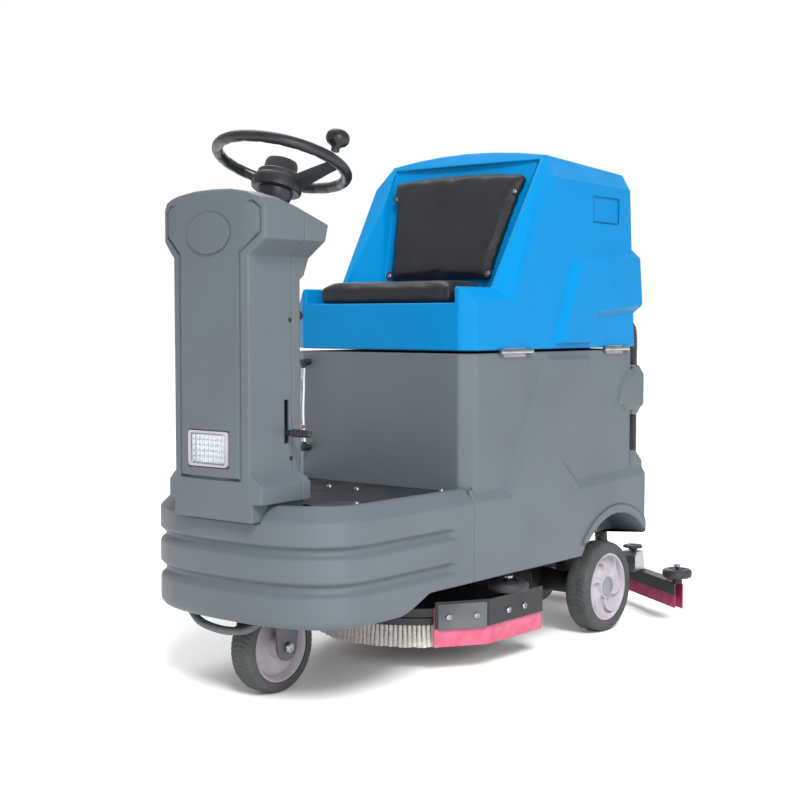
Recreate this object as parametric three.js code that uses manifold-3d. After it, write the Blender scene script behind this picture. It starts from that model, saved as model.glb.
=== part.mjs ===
// Ride-on floor scrubber-dryer: an assembly of named sub-parts, in millimetres, +Z up.
// The front looks along -Y and the machine's left side is +X. Inside the group the front axle is at
// Y = 0 and the floor at Z = 0; the group is then shifted so that the origin is under its middle.
import * as THREE from "three";
import { mergeVertices } from "three/addons/utils/BufferGeometryUtils.js";
import Module from "manifold-3d";

const wasm = await Module();
wasm.setup();

// ---------- driving dimensions ----------
const AXLE_TO_MIDDLE = 593; // front axle to the middle of the overall length
const GAP = 0.3; // between faces that touch
const SKIN = 280; // half width over the raised side skin
const SEAM = 267; // half width at the seam between the tanks
const CORNER = 232; // half width of the front faces, inside the corner chamfers
const BUMPER_FRONT = -157;
const BUMPER_BOTTOM = 177;
const SILL = 215; // underside of the body between the wheels
const FLOOR_Z = 408; // standing deck
const RIM_Z = 420;
const TANK_FRONT = 347;
const TANK_REAR = 1063;
const SKIN_REAR = 1097;
const SEAM_Z = 719;
const SEAT_Z = 828; // floor of the seat recess
const ARM_Z = 864;
const FRONT_R = 100;
const FRONT_W = 57;
const REAR_R = 113.5;
const REAR_W = 61;
const REAR_OUT = 257; // outer face of a rear wheel
const REAR_Y = 954.7;
const BRUSH_Y = 484;
const BRUSH_R = 236;
const BRUSH_TIP = 57; // bristle tips above the floor with the brush raised
const RING_R = 139; // steering wheel, middle of the rim
const RING_TUBE = 12;
const RING_Y = 37;
const RING_Z = 1121;
const TILT = THREE.MathUtils.degToRad(18);
const COLUMN_IN = 7; // wall of the column covers

// ---------- finishes ----------
const finish = (colour, roughness, metalness = 0) =>
  new THREE.MeshStandardMaterial({ color: colour, roughness, metalness });
const greyShell = finish("#6f7678", 0.55);
const blueShell = finish("#0f8fe0", 0.45);
const blackVinyl = finish("#2b2b2e", 0.6);
const blackPlastic = finish("#232427", 0.5);
const rubber = finish("#5c5d58", 0.85);
const hubPlastic = finish("#b9b4b8", 0.45);
const blackSteel = finish("#1d1e20", 0.4, 0.6);
const zinc = finish("#b8babc", 0.35, 1);
const redRubber = finish("#e8708c", 0.7);
const bladeRubber = finish("#a8305f", 0.6);
const bristle = finish("#b5b2ac", 0.8);
const clear = finish("#dfe4e6", 0.1);
const orange = finish("#f08a1d", 0.5);

// ---------- solids ----------
function toSolid(geometry) {
  const bare = geometry.index ? geometry.toNonIndexed() : geometry.clone();
  bare.deleteAttribute("normal");
  bare.deleteAttribute("uv");
  const merged = mergeVertices(bare, 1e-3);
  return new wasm.Manifold(
    new wasm.Mesh({
      numProp: 3,
      vertProperties: merged.attributes.position.array,
      triVerts: new Uint32Array(merged.index.array),
    }),
  );
}

function toGeometry(solid) {
  const mesh = solid.getMesh();
  return new THREE.BufferGeometry()
    .setAttribute("position", new THREE.BufferAttribute(mesh.vertProperties, 3))
    .setIndex(new THREE.BufferAttribute(mesh.triVerts, 1));
}

function combine(kind, first, others) {
  return toGeometry(others.reduce((sum, g) => sum[kind](toSolid(g)), toSolid(first)));
}

const join = (first, ...others) => combine("add", first, others);
const cut = (first, ...others) => combine("subtract", first, others);
const common = (first, ...others) => combine("intersect", first, others);

const AXIS_FRAMES = {
  X: [new THREE.Vector3(0, 1, 0), new THREE.Vector3(0, 0, 1), new THREE.Vector3(1, 0, 0)],
  Y: [new THREE.Vector3(1, 0, 0), new THREE.Vector3(0, 0, 1), new THREE.Vector3(0, -1, 0)],
  Z: [new THREE.Vector3(1, 0, 0), new THREE.Vector3(0, 1, 0), new THREE.Vector3(0, 0, 1)],
};

// An outline pushed along an axis. Its two numbers are (Y, Z) on X, (X, Z) on Y and (X, Y) on Z.
function prism(axis, outline, from, to) {
  const shape = new THREE.Shape(outline.map(([u, v]) => new THREE.Vector2(u, v)));
  const solid = new THREE.ExtrudeGeometry(shape, { depth: to - from, bevelEnabled: false });
  solid.applyMatrix4(new THREE.Matrix4().makeBasis(...AXIS_FRAMES[axis]));
  const start = axis === "Y" ? to : from;
  return solid.translate(
    axis === "X" ? start : 0,
    axis === "Y" ? start : 0,
    axis === "Z" ? start : 0,
  );
}

function block(x0, x1, y0, y1, z0, z1) {
  return new THREE.BoxGeometry(x1 - x0, y1 - y0, z1 - z0).translate(
    (x0 + x1) / 2,
    (y0 + y1) / 2,
    (z0 + z1) / 2,
  );
}

// A round solid turned about an axis through (x, y, z). Its profile is [radius, height along the axis].
function turned(axis, [x, y, z], profile, steps = 32) {
  const points = profile.map(([r, h]) => new THREE.Vector2(r, h));
  const solid = new THREE.LatheGeometry(points, steps);
  if (axis === "Z") solid.rotateX(Math.PI / 2);
  if (axis === "X") solid.rotateZ(-Math.PI / 2);
  return solid.translate(x, y, z);
}

function rod(axis, centre, radius, from, to, steps = 20) {
  return turned(axis, centre, [[0, from], [radius, from], [radius, to], [0, to]], steps);
}

function washer(axis, centre, inner, outer, from, to, steps = 32) {
  const profile = [[inner, from], [outer, from], [outer, to], [inner, to], [inner, from]];
  return turned(axis, centre, profile, steps);
}

// A closed solid through rings of points, each ring with the same count, from the first to the last.
function loft(rings) {
  const count = rings[0].length;
  const positions = rings.flat(2);
  const index = [];
  for (let r = 0; r + 1 < rings.length; r++) {
    for (let i = 0; i < count; i++) {
      const a = r * count + i;
      const b = r * count + ((i + 1) % count);
      index.push(a, b, b + count, a, b + count, a + count);
    }
  }
  const cap = (ring, start, flip) => {
    const points = ring.map((p) => new THREE.Vector3(...p));
    const normal = new THREE.Vector3();
    points.forEach((p, i) => normal.add(p.clone().cross(points[(i + 1) % count])));
    const [u, v] = ["x", "y", "z"].filter(
      (k) => Math.abs(normal[k]) < Math.max(...normal.toArray().map(Math.abs)),
    );
    const flat = points.map((p) => new THREE.Vector2(p[u], p[v]));
    const clockwise = THREE.ShapeUtils.isClockWise(flat);
    const faces = THREE.ShapeUtils.triangulateShape(clockwise ? flat.slice().reverse() : flat, []);
    const at = (i) => start + (clockwise ? count - 1 - i : i);
    for (const [a, b, c] of faces) {
      const order = clockwise !== flip ? [at(a), at(b), at(c)] : [at(c), at(b), at(a)];
      index.push(...order);
    }
  };
  cap(rings[0], 0, false);
  cap(rings[rings.length - 1], (rings.length - 1) * count, true);
  const solid = new THREE.BufferGeometry()
    .setAttribute("position", new THREE.Float32BufferAttribute(positions, 3))
    .setIndex(index);
  return rightWayOut(solid);
}

// Turns a closed surface so that it faces out, whichever way its rings ran.
function rightWayOut(source) {
  const solid = source.index ? source : mergeVertices(source.deleteAttribute("normal"));
  const p = solid.attributes.position;
  const order = solid.index.array;
  let volume = 0;
  const [a, b, c] = [new THREE.Vector3(), new THREE.Vector3(), new THREE.Vector3()];
  for (let i = 0; i < order.length; i += 3) {
    a.fromBufferAttribute(p, order[i]);
    b.fromBufferAttribute(p, order[i + 1]);
    c.fromBufferAttribute(p, order[i + 2]);
    volume += a.dot(b.cross(c));
  }
  if (volume < 0) {
    for (let i = 0; i < order.length; i += 3) {
      [order[i], order[i + 1]] = [order[i + 1], order[i]];
    }
  }
  return solid;
}

// A round tube along a smooth curve through points.
function tube(points, radius, steps, sides = 10) {
  const circle = new THREE.Shape();
  for (let i = 0; i < sides; i++) {
    const angle = (2 * Math.PI * i) / sides;
    const at = [radius * Math.cos(angle), radius * Math.sin(angle)];
    i ? circle.lineTo(...at) : circle.moveTo(...at);
  }
  const path = new THREE.CatmullRomCurve3(points.map((p) => new THREE.Vector3(...p)));
  return new THREE.ExtrudeGeometry(circle, { steps, extrudePath: path, bevelEnabled: false });
}

// A polygon moved inwards by a distance, corner by corner; its points run anticlockwise.
function inset(outline, distance) {
  const n = outline.length;
  return outline.map((p, i) => {
    const before = outline[(i + n - 1) % n];
    const after = outline[(i + 1) % n];
    const d1 = new THREE.Vector2(p[0] - before[0], p[1] - before[1]).normalize();
    const d2 = new THREE.Vector2(after[0] - p[0], after[1] - p[1]).normalize();
    const bisector = new THREE.Vector2(-d1.y - d2.y, d1.x + d2.x);
    const scale = (2 * distance) / bisector.lengthSq();
    return [p[0] + bisector.x * scale, p[1] + bisector.y * scale];
  });
}

const mirrorX = (points) => points.map(([x, y]) => [-x, y]).reverse();
const mirrored = (solid) => rightWayOut(solid.clone().scale(-1, 1, 1));

// A rectangle in any plane with round corners.
function roundRect(u0, u1, v0, v1, radius, steps = 5) {
  const corners = [[u1 - radius, v1 - radius, 0], [u0 + radius, v1 - radius, 1]];
  corners.push([u0 + radius, v0 + radius, 2], [u1 - radius, v0 + radius, 3]);
  return corners.flatMap(([u, v, turn]) =>
    Array.from({ length: steps + 1 }, (_, i) => {
      const angle = (Math.PI / 2) * (turn + i / steps);
      return [u + radius * Math.cos(angle), v + radius * Math.sin(angle)];
    }),
  );
}

const part = new THREE.Group();
function add(name, geometry, material, parent = part) {
  const mesh = new THREE.Mesh(geometry, material);
  mesh.name = name;
  parent.add(mesh);
  return mesh;
}

// ---------- front bumper and standing deck ----------
const NOSE_START = 20; // the sides run straight back from here
const NOSE_POWER = 2.7;
const NOSE_STEPS = 18;
const GROOVE_END = 262; // the bumper grooves run out over the next stretch
const GROOVE_RUN = 30;

// The plan outline of the deck, moved in by a distance, with its straight sides in a few stretches.
function deckOutline(inwards, grooveDepth = 0, rear = TANK_FRONT - GAP) {
  const width = SKIN - inwards;
  const length = NOSE_START - BUMPER_FRONT - inwards;
  const sides = [rear, GROOVE_END + GROOVE_RUN, GROOVE_END, 160];
  const right = sides.map((y) => {
    const depth = y <= GROOVE_END ? grooveDepth : 0;
    return [width - depth, y];
  });
  const nose = Array.from({ length: NOSE_STEPS + 1 }, (_, i) => {
    const angle = (Math.PI * i) / NOSE_STEPS;
    const [c, s] = [Math.cos(angle), Math.sin(angle)];
    const round = (value) => Math.sign(value) * Math.abs(value) ** (2 / NOSE_POWER);
    return [(width - grooveDepth) * round(c), NOSE_START - (length - grooveDepth) * round(s)];
  });
  const left = right.map(([x, y]) => [-x, y]).reverse();
  return [...right, ...nose, ...left];
}

const atHeight = (outline, z) => outline.map(([x, y]) => [x, y, z]);

function frontDeck() {
  const GROOVE = 11;
  const levels = [
    [BUMPER_BOTTOM, 9, 0],
    [BUMPER_BOTTOM + 8, 2, 0],
    [BUMPER_BOTTOM + 16, 0, 0],
    [241, 0, 0],
    [250, 0, GROOVE],
    [262, 0, GROOVE],
    [271, 0, 0],
    [318, 0, 0],
    [326, 0, GROOVE],
    [336, 0, GROOVE],
    [344, 0, 0],
    [391, 0, 0],
    [RIM_Z, 28, 0],
  ];
  const outer = loft(levels.map(([z, inwards, groove]) => atHeight(deckOutline(inwards, groove), z)));
  const hollow = prism("Z", deckOutline(20, 0, TANK_FRONT - 20), 100, FLOOR_Z - 12);
  const well = prism("Z", deckOutline(44, 0, TANK_FRONT + 20), FLOOR_Z, RIM_Z + 20);
  const sillStep = [[100, 100], [100, BUMPER_BOTTOM - 1], [190, SILL], [400, SILL], [400, 100]];
  const notch = block(-114, 114, -220, -22, 386, 500);
  const shaftHole = block(-60, 60, -150, -40, 360, 400);
  return cut(outer, hollow, well, prism("X", sillStep, -400, 400), notch, shaftHole);
}
add("front_deck", frontDeck(), greyShell);

const MAT_TOP = FLOOR_Z + 4;
const matOutline = deckOutline(48, 0, TANK_FRONT - 3);
const columnFoot = block(-140, 140, -300, -18, 300, 500);
add(
  "deck_mat",
  cut(prism("Z", matOutline, FLOOR_Z + GAP, MAT_TOP), columnFoot),
  blackVinyl,
);

// ---------- rear tank body for clean water and batteries ----------
const skinBase = [
  [TANK_FRONT, SILL], [1040, SILL], [SKIN_REAR, 237], [SKIN_REAR, 425], [790, 412],
  [703, 460], [842, 708], [624, 708], [465, RIM_Z], [TANK_FRONT, RIM_Z],
];
const skinTop = [
  [TANK_FRONT, SILL], [1040, SILL], [SKIN_REAR, 237], [SKIN_REAR, 395], [781, 381],
  [692, 458], [823, 697], [661, 697], [493, 391], [TANK_FRONT, 391],
];
const PAD_REAR = SKIN_REAR - 6;
const padBase = [
  [975, 575], [1000, 548], [PAD_REAR, 548], [PAD_REAR, 678], [1040, 672], [1000, 640],
];
const padTop = [
  [985, 580], [1006, 564], [PAD_REAR, 572], [PAD_REAR, 650], [1046, 658], [1010, 632],
];

// A raised field on the side: its foot outline at one half width and its face outline at another.
function raisedField(foot, face, from, to) {
  const left = loft([foot.map(([y, z]) => [from, y, z]), face.map(([y, z]) => [to, y, z])]);
  return [left, mirrored(left)];
}

function rearBlock(z0, z1, chamfer, rear) {
  const inner = TANK_REAR - 20;
  const side = [[inner, z0], [rear, z0], [rear, z1 - chamfer], [TANK_REAR, z1], [inner, z1]];
  return prism("X", side, 10 - SKIN, SKIN - 10);
}

function tankBody() {
  const plan = [
    [SEAM, TANK_FRONT + 24], [SEAM, TANK_REAR - 26], [SEAM - 30, TANK_REAR],
    [30 - SEAM, TANK_REAR], [-SEAM, TANK_REAR - 26], [-SEAM, TANK_FRONT + 24],
    [-CORNER, TANK_FRONT], [CORNER, TANK_FRONT],
  ];
  const body = join(
    prism("Z", plan, SILL, SEAM_Z - 3),
    ...raisedField(skinBase, skinTop, SEAM - 8, SKIN),
    ...raisedField(padBase, padTop, SEAM - 8, SKIN - 3),
    rearBlock(237, 455, 28, SKIN_REAR),
    rearBlock(548, 676, 28, PAD_REAR),
  );
  const padUnderside = [[TANK_REAR + GAP, 540], [SKIN_REAR, 540], [SKIN_REAR, 578]];
  const padUnder = prism("X", padUnderside, -400, 400);
  const rearUnderside = block(-400, 400, 1045, 1200, 100, 237);
  const arch = rod("X", [0, REAR_Y - 2, REAR_R], 191, 184, 400, 40);
  const axleRoom = block(-400, 400, REAR_Y - 150, 1200, 100, 238);
  const battery = block(-190, 190, 392, 752, 345, 900);
  const waterTank = block(-215, 215, 775, 1030, 330, 900);
  const motorRoom = block(-95, 95, 375, 680, 100, 335);
  return cut(
    body, padUnder, rearUnderside, arch, mirrored(arch), axleRoom, battery, waterTank, motorRoom,
  );
}

const ARCH_LIP = 9;
function archLip(side) {
  const centre = [0, REAR_Y - 2, REAR_R];
  const ring = washer("X", centre, 191, 214, SKIN - 12, SKIN + ARCH_LIP - 5, 40);
  const above = block(0, 400, 700, SKIN_REAR, 245, 400);
  const lip = common(ring, above);
  return side > 0 ? lip : mirrored(lip);
}
add("solution_tank", join(tankBody(), archLip(1), archLip(-1)), greyShell);

// ---------- steering column covers ----------
const columnHalf = [
  [113.5, 387], [113.5, 424], [135, 424], [135, 461], [108, 482], [108, 916], [146, 950],
  [146, 1016], [136, 1030], [100, 1042], [52, 1050],
];
const columnFace = [...columnHalf, [0, 1052], ...mirrorX(columnHalf)];
const columnSide = [
  [-172, 387], [-22, 387], [-24, 872], [-12, 880], [4, 920], [21, 984],
  [-110, 1028], [-128, 1044], [-160, 1056], [-168, 1046], [-174, 1012], [-184, 560], [-183, 470],
];

function columnForm(inwards) {
  const face = prism("Y", inset(columnFace, inwards), -400, 400);
  const side = prism("X", inset(columnSide, inwards), -400, 400);
  return common(face, side);
}

// The front is a little crowned: its corners lie further back than its middle.
const FACE_CROWN = 12;
function crownedFront() {
  const steps = 8;
  const front = Array.from({ length: steps + 1 }, (_, i) => {
    const x = -160 + (320 * i) / steps;
    return [x, -184 + FACE_CROWN * (x / 108) ** 2];
  });
  return prism("Z", [...front, [160, 200], [-160, 200]], 300, 1100);
}

const SPLIT_Y = -48; // joint between the front and rear column covers
const shell = common(columnForm(0), crownedFront());
const hollowColumn = common(
  columnForm(COLUMN_IN),
  crownedFront().translate(0, COLUMN_IN, 0),
);
const openFoot = block(-100, 100, -150, -32, 380, 400);
const covers = cut(shell, hollowColumn, openFoot);
const SLOT_Y = -64;
const leverSlot = block(90, 130, SLOT_Y - 6, SLOT_Y + 6, 540, 628);
const lightPocket = block(-57, 57, -220, -150, 494, 568);
const panelLine = [
  [84, 474], [84, 924], [131, 962], [131, 1008], [118, 1020], [0, 1030],
];
const panelFace = [...panelLine, ...mirrorX(panelLine).slice(1)];
const panelStep = cut(
  prism("Y", inset(panelFace, -4), -230, -80),
  prism("Y", panelFace, -240, -70),
);
const frontGroove = cut(panelStep, crownedFront().translate(0, 3, 0));
const frontHalf = block(-300, 300, -300, SPLIT_Y - GAP, 300, 1200);
const rearHalf = block(-300, 300, SPLIT_Y, 300, 300, 1200);
const shaftRun = rod("Z", [0, 0, 0], 26, -150, 60).rotateX(-TILT).translate(0, RING_Y, RING_Z);
add(
  "column_front_cover",
  cut(common(covers, frontHalf), leverSlot, lightPocket, frontGroove, shaftRun),
  greyShell,
);
add("column_rear_cover", cut(common(covers, rearHalf), shaftRun), greyShell);

const BADGE_Z = 963;
const FACE_LEAN = 10 / 452; // the flat of the front leans back by this much per unit of height
const badge = rod("Y", [0, 0, 0], 42, -3.6, -0.5, 36).scale(62 / 42, 1, 1);
add("badge_plate", badge.rotateX(-FACE_LEAN).translate(0, -175.1, BADGE_Z), greyShell);

// ---------- headlight ----------
add("headlight", prism("Y", roundRect(-56, 56, 495, 567, 8), -184, -168), clear);

// ---------- dash: display, key and switches on the sloping top ----------
const DASH = new THREE.Group();
DASH.position.set(0, -44, 1006);
DASH.rotation.x = -TILT;
part.add(DASH);
const dashHoles = [
  rod("Z", [0, 49, 0], 27, -20, 20, 24),
  rod("Z", [92, 34, 0], 11.6, -20, 20, 20),
  block(82, 102, -22.5, 6.5, -20, 20),
];
add(
  "dash_panel",
  cut(prism("Z", roundRect(-122, 122, -58, 58, 12), 1.2, 4.2), ...dashHoles),
  blackPlastic,
  DASH,
);
add("display", prism("Z", roundRect(-58, 58, -48, 8, 5), 4.5, 9), clear, DASH);
add("key_switch", rod("Z", [-92, -8, 0], 11, 4.5, 16, 20), zinc, DASH);
add("horn_button", rod("Z", [92, 34, 0], 11, 4.5, 11, 20), orange, DASH);
const rocker = (x, y) => prism("Z", roundRect(x - 9, x + 9, y - 13, y + 13, 3, 2), 4.5, 11);
add("direction_switch", rocker(92, -8), blackPlastic, DASH);

// ---------- steering wheel and shafts ----------
const WHEEL = new THREE.Group();
WHEEL.position.set(0, RING_Y, RING_Z);
WHEEL.rotation.x = -TILT;
part.add(WHEEL);

function steeringWheel() {
  const rim = new THREE.TorusGeometry(RING_R, RING_TUBE, 8, 36);
  const hub = turned(
    "Z",
    [0, 0, 0],
    [[0, -92], [30, -92], [37, -62], [53, -62], [53, -34], [46, -24], [34, -18], [34, 0], [26, 6], [0, 6]],
    24,
  );
  const spoke = (angle, half) =>
    loft([
      [[40, -half - 5, -50], [40, half + 5, -50], [40, half + 5, -30], [40, -half - 5, -30]],
      [[RING_R, -half, -6], [RING_R, half, -6], [RING_R, half, 6], [RING_R, -half, 6]],
    ]).rotateZ(angle);
  const SPOKE_LEAN = 0.2; // both spokes lean a little towards the driver
  const spokes = [SPOKE_LEAN, Math.PI - SPOKE_LEAN].map((angle) => spoke(angle, 13));
  const shaft = rod("Z", [0, 0, 0], 10, -410, -90, 14);
  return join(rim, hub, ...spokes, shaft);
}
const KNOB_ANGLE = 0.05; // the spinner knob stands over the left spoke
const knobX = RING_R * Math.cos(KNOB_ANGLE);
const knobY = RING_R * Math.sin(KNOB_ANGLE);
const knobSeat = rod("Z", [knobX, knobY, 0], 9, -2, RING_TUBE + 6, 16);
add("steering_wheel", join(steeringWheel(), knobSeat), blackPlastic, WHEEL);
add(
  "spinner_knob",
  turned(
    "Z",
    [knobX, knobY, RING_TUBE + 6.3],
    [[0, 0], [9, 0], [10, 10], [22, 18], [25, 30], [20, 41], [8, 46], [0, 46]],
    20,
  ),
  blackPlastic,
  WHEEL,
);

const LOWER_SHAFT_Y = -100;
const KINGPIN_Z = 217;
const SPROCKET_R = 58;
add(
  "lower_steering_shaft",
  join(
    rod("Z", [0, LOWER_SHAFT_Y, 0], 12, 252, 690, 16),
    washer("Z", [0, LOWER_SHAFT_Y, 0], 5, 20, 252, 260, 20),
    rod("Z", [0, LOWER_SHAFT_Y, 0], 17, 690, 715, 16),
  ),
  zinc,
);

// ---------- front fork and wheel ----------
function fork() {
  const foot = [210, 240, 270, 300, 330].map(THREE.MathUtils.degToRad);
  const round = foot.map((angle) => [30 * Math.cos(angle), FRONT_R + 30 * Math.sin(angle)]);
  const plate = [[-34, 150], ...round, [34, 150], [24, 206], [-24, 206]];
  const holed = cut(prism("X", plate, 40, 46), rod("X", [0, 0, FRONT_R], 8.3, 0, 60));
  const crown = prism("Z", roundRect(-46, 46, -32, 32, 10, 3), 205, KINGPIN_Z);
  const pin = rod("Z", [0, 0, 0], 15, KINGPIN_Z - 2, 268);
  const sprocket = rod("Z", [0, 0, 0], SPROCKET_R, 252, 260, 32);
  return join(crown, holed, mirrored(holed), pin, sprocket);
}
add("front_fork", fork(), blackSteel);

const frontCentre = [0, 0, FRONT_R];
const halfFront = FRONT_W / 2;
add(
  "front_tyre",
  turned(
    "X",
    frontCentre,
    [
      [78, -halfFront], [93, -halfFront], [FRONT_R, 6 - halfFront], [FRONT_R, halfFront - 6],
      [93, halfFront], [78, halfFront], [78, -halfFront],
    ],
    36,
  ),
  rubber,
);
add(
  "front_hub",
  turned(
    "X",
    frontCentre,
    [
      [10.5, -33], [24, -33], [26, -12], [66, -10], [71, 3 - halfFront], [77.7, 3 - halfFront],
      [77.7, halfFront - 3], [71, halfFront - 3], [66, 10], [26, 12], [24, 33], [10.5, 33],
      [10.5, -33],
    ],
    24,
  ),
  hubPlastic,
);
add(
  "front_axle",
  turned(
    "X",
    frontCentre,
    [[0, -56], [12, -56], [12, -46.3], [8, -46.3], [8, 46.3], [12, 46.3], [12, 56], [0, 56]],
    18,
  ),
  zinc,
);

// ---------- chassis ----------
const actuator = [0, 640];
const ARM_PIVOT = [1046, 178];
const RAIL_X = 132;
const RAIL_TOP = 213;
function chassis() {
  const rails = [-RAIL_X, RAIL_X].map((x) => block(x - 14, x + 14, -80, 1040, 188, RAIL_TOP));
  const crosses = [330, 700, 1012].map((y) => block(-RAIL_X, RAIL_X, y, y + 28, 188, RAIL_TOP));
  const headPlate = block(-RAIL_X - 14, RAIL_X + 14, -80, 70, RAIL_TOP - 1, 234);
  const headRoom = block(14 - RAIL_X, RAIL_X - 14, -200, 200, 200, 222);
  const pinHole = rod("Z", [0, 0, 0], 15.6, 200, 300);
  const axlePosts = [-1, 1].map((s) =>
    block(s * RAIL_X - 14, s * RAIL_X + 14, REAR_Y - 32, REAR_Y + 32, 144, 190),
  );
  const deckPosts = [-1, 1].map((s) => block(s * RAIL_X - 14, s * RAIL_X + 14, 250, 290, 212, 395.7));
  const mainFrame = join(...rails, ...crosses, headPlate, ...axlePosts, ...deckPosts);
  const columnPost = block(-60, 60, -78, -60, 230, 385);
  const cheek = cut(
    block(106, 120, 1020, 1062, 160, 200),
    rod("X", [0, ...ARM_PIVOT], 6.5, -200, 200, 14),
  );
  const holder = cut(
    block(-RAIL_X, RAIL_X, 612, 668, 190, 204.7),
    rod("Z", [...actuator, 0], 12, 100, 300),
  );
  return cut(join(mainFrame, columnPost, cheek, mirrored(cheek), holder), headRoom, pinHole);
}
add("chassis_frame", chassis(), blackSteel);
add(
  "transaxle",
  join(
    rod("X", [0, REAR_Y, REAR_R], 30, -188, 188, 24),
    rod("X", [0, REAR_Y, REAR_R], 58, -62, 62, 24),
    rod("X", [0, REAR_Y, REAR_R], 12, -236, 236, 16),
  ),
  blackPlastic,
);
add(
  "drive_motor",
  cut(
    rod("Y", [30, 0, REAR_R + 6], 52, REAR_Y - 210, REAR_Y - 30, 28),
    rod("X", [0, REAR_Y, REAR_R], 58.6, -100, 100, 24),
  ),
  blackSteel,
);

// ---------- rear wheels ----------
function rearWheel(side) {
  const name = side > 0 ? "left" : "right";
  const middle = [side * (REAR_OUT - REAR_W / 2), REAR_Y, REAR_R];
  const half = REAR_W / 2;
  const tyre = [
    [86, -half], [105, -half], [REAR_R, 9 - half], [REAR_R, half - 9], [105, half], [86, half], [86, -half],
  ];
  const hub = [
    [12.4, -half + 2], [85.7, -half + 2], [85.7, half - 2], [80, half - 2], [76, half - 14],
    [30, half - 12], [27, half - 4], [12.4, half - 4], [12.4, -half + 2],
  ];
  add(`rear_tyre_${name}`, turned("X", middle, tyre, 36), rubber);
  const facing = hub.map(([r, h]) => [r, side * h]);
  add(`rear_hub_${name}`, turned("X", middle, side > 0 ? facing : facing.reverse(), 36), hubPlastic);
}
rearWheel(1);
rearWheel(-1);

// ---------- brush deck ----------
add(
  "scrub_brush",
  turned(
    "Z",
    [0, BRUSH_Y, 0],
    [
      [0, 108], [60, 108], [140, BRUSH_TIP], [BRUSH_R, BRUSH_TIP], [BRUSH_R - 10, 108],
      [BRUSH_R - 14, 124], [0, 124],
    ],
    40,
  ),
  bristle,
);
const COVER_Z = 128;
const ROLLER = [250, 520];
function brushCover() {
  const disc = rod("Z", [0, BRUSH_Y, 0], 238, COVER_Z, COVER_Z + 20, 40);
  const lug = block(-24, 24, BRUSH_Y + 100, BRUSH_Y + 200, COVER_Z + 19, COVER_Z + 26);
  const liftRod = rod("Z", [...actuator, 0], 9, COVER_Z + 25, 300, 16);
  const arm = join(
    block(201, 253.5, 505, 535, COVER_Z + 10, 160),
    rod("Z", [...ROLLER, 0], 6, 158, 198, 14),
  );
  const under = rod("Z", [0, BRUSH_Y, 0], 230, COVER_Z - 5, COVER_Z + 13, 40);
  return join(cut(disc, under), lug, liftRod, arm, mirrored(arm));
}
add("brush_deck_cover", brushCover(), blackSteel);
add("brush_motor", rod("Z", [0, BRUSH_Y, 0], 62, COVER_Z + 20.3, 320, 32), blackSteel);
add(
  "brush_lift_actuator",
  cut(rod("Z", [...actuator, 0], 19, 205, 330, 20), rod("Z", [...actuator, 0], 10, 200, 316, 16)),
  blackSteel,
);

// A strip that follows points in plan, of a thickness inwards from them.
function strip(points, thickness, z0, z1) {
  const back = points.map(([x, y], i) => {
    const lean = i < points.length - 1 ? 0.7 : 0;
    return [x - thickness, y + thickness * lean];
  });
  return prism("Z", [...points, ...back.reverse()], z0, z1);
}
const skirtLine = [[190, 322], [261, 430], [265, 640]];
const rubberLine = skirtLine.map(([x, y]) => [x - 5.4, y + 2]);
for (const side of [1, -1]) {
  const name = side > 0 ? "left" : "right";
  const place = (solid) => (side > 0 ? solid : mirrored(solid));
  add(`skirt_plate_${name}`, place(strip(skirtLine, 4, 103, 164)), blackSteel);
  add(`skirt_rubber_${name}`, place(strip(rubberLine, 3, BRUSH_TIP + 3, 150)), redRubber);
  const roller = [
    [6.5, 0], [44, 0], [47, 4], [47, 20], [43, 24], [6.5, 24], [6.5, 0],
  ];
  add(`guide_roller_${name}`, place(turned("Z", [...ROLLER, 167], roller, 24)), blackPlastic);
}

// ---------- recovery tank and seat ----------
const crown = (x) => 19 * (1 - (x / CORNER) ** 2);
const tankSide = (x) => [
  [TANK_FRONT, SEAM_Z + 3], [1074, SEAM_Z + 3], [1050, 1160 + crown(x)], [691, 1181 + crown(x)],
  [481, ARM_Z], [TANK_FRONT, ARM_Z],
];
const tankEdge = [[371, SEAM_Z + 3], [1056, SEAM_Z + 3], [1030, 1117], [664, 1127], [503, 831], [371, 831]];
const fieldBase = [[635, 723], [840, 723], [862, 784], [1068, 802], [1050, 980], [744, 957]];
const fieldTop = [[698, 737], [824, 737], [853, 808], [1074, 828], [1060, 948], [779, 923]];

// The lid lies in a flat seat that follows the slope of the top.
const LID = new THREE.Group();
LID.position.set(0, 870, 1181.5);
LID.rotation.x = -Math.atan2(21, 359);
part.add(LID);

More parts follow.
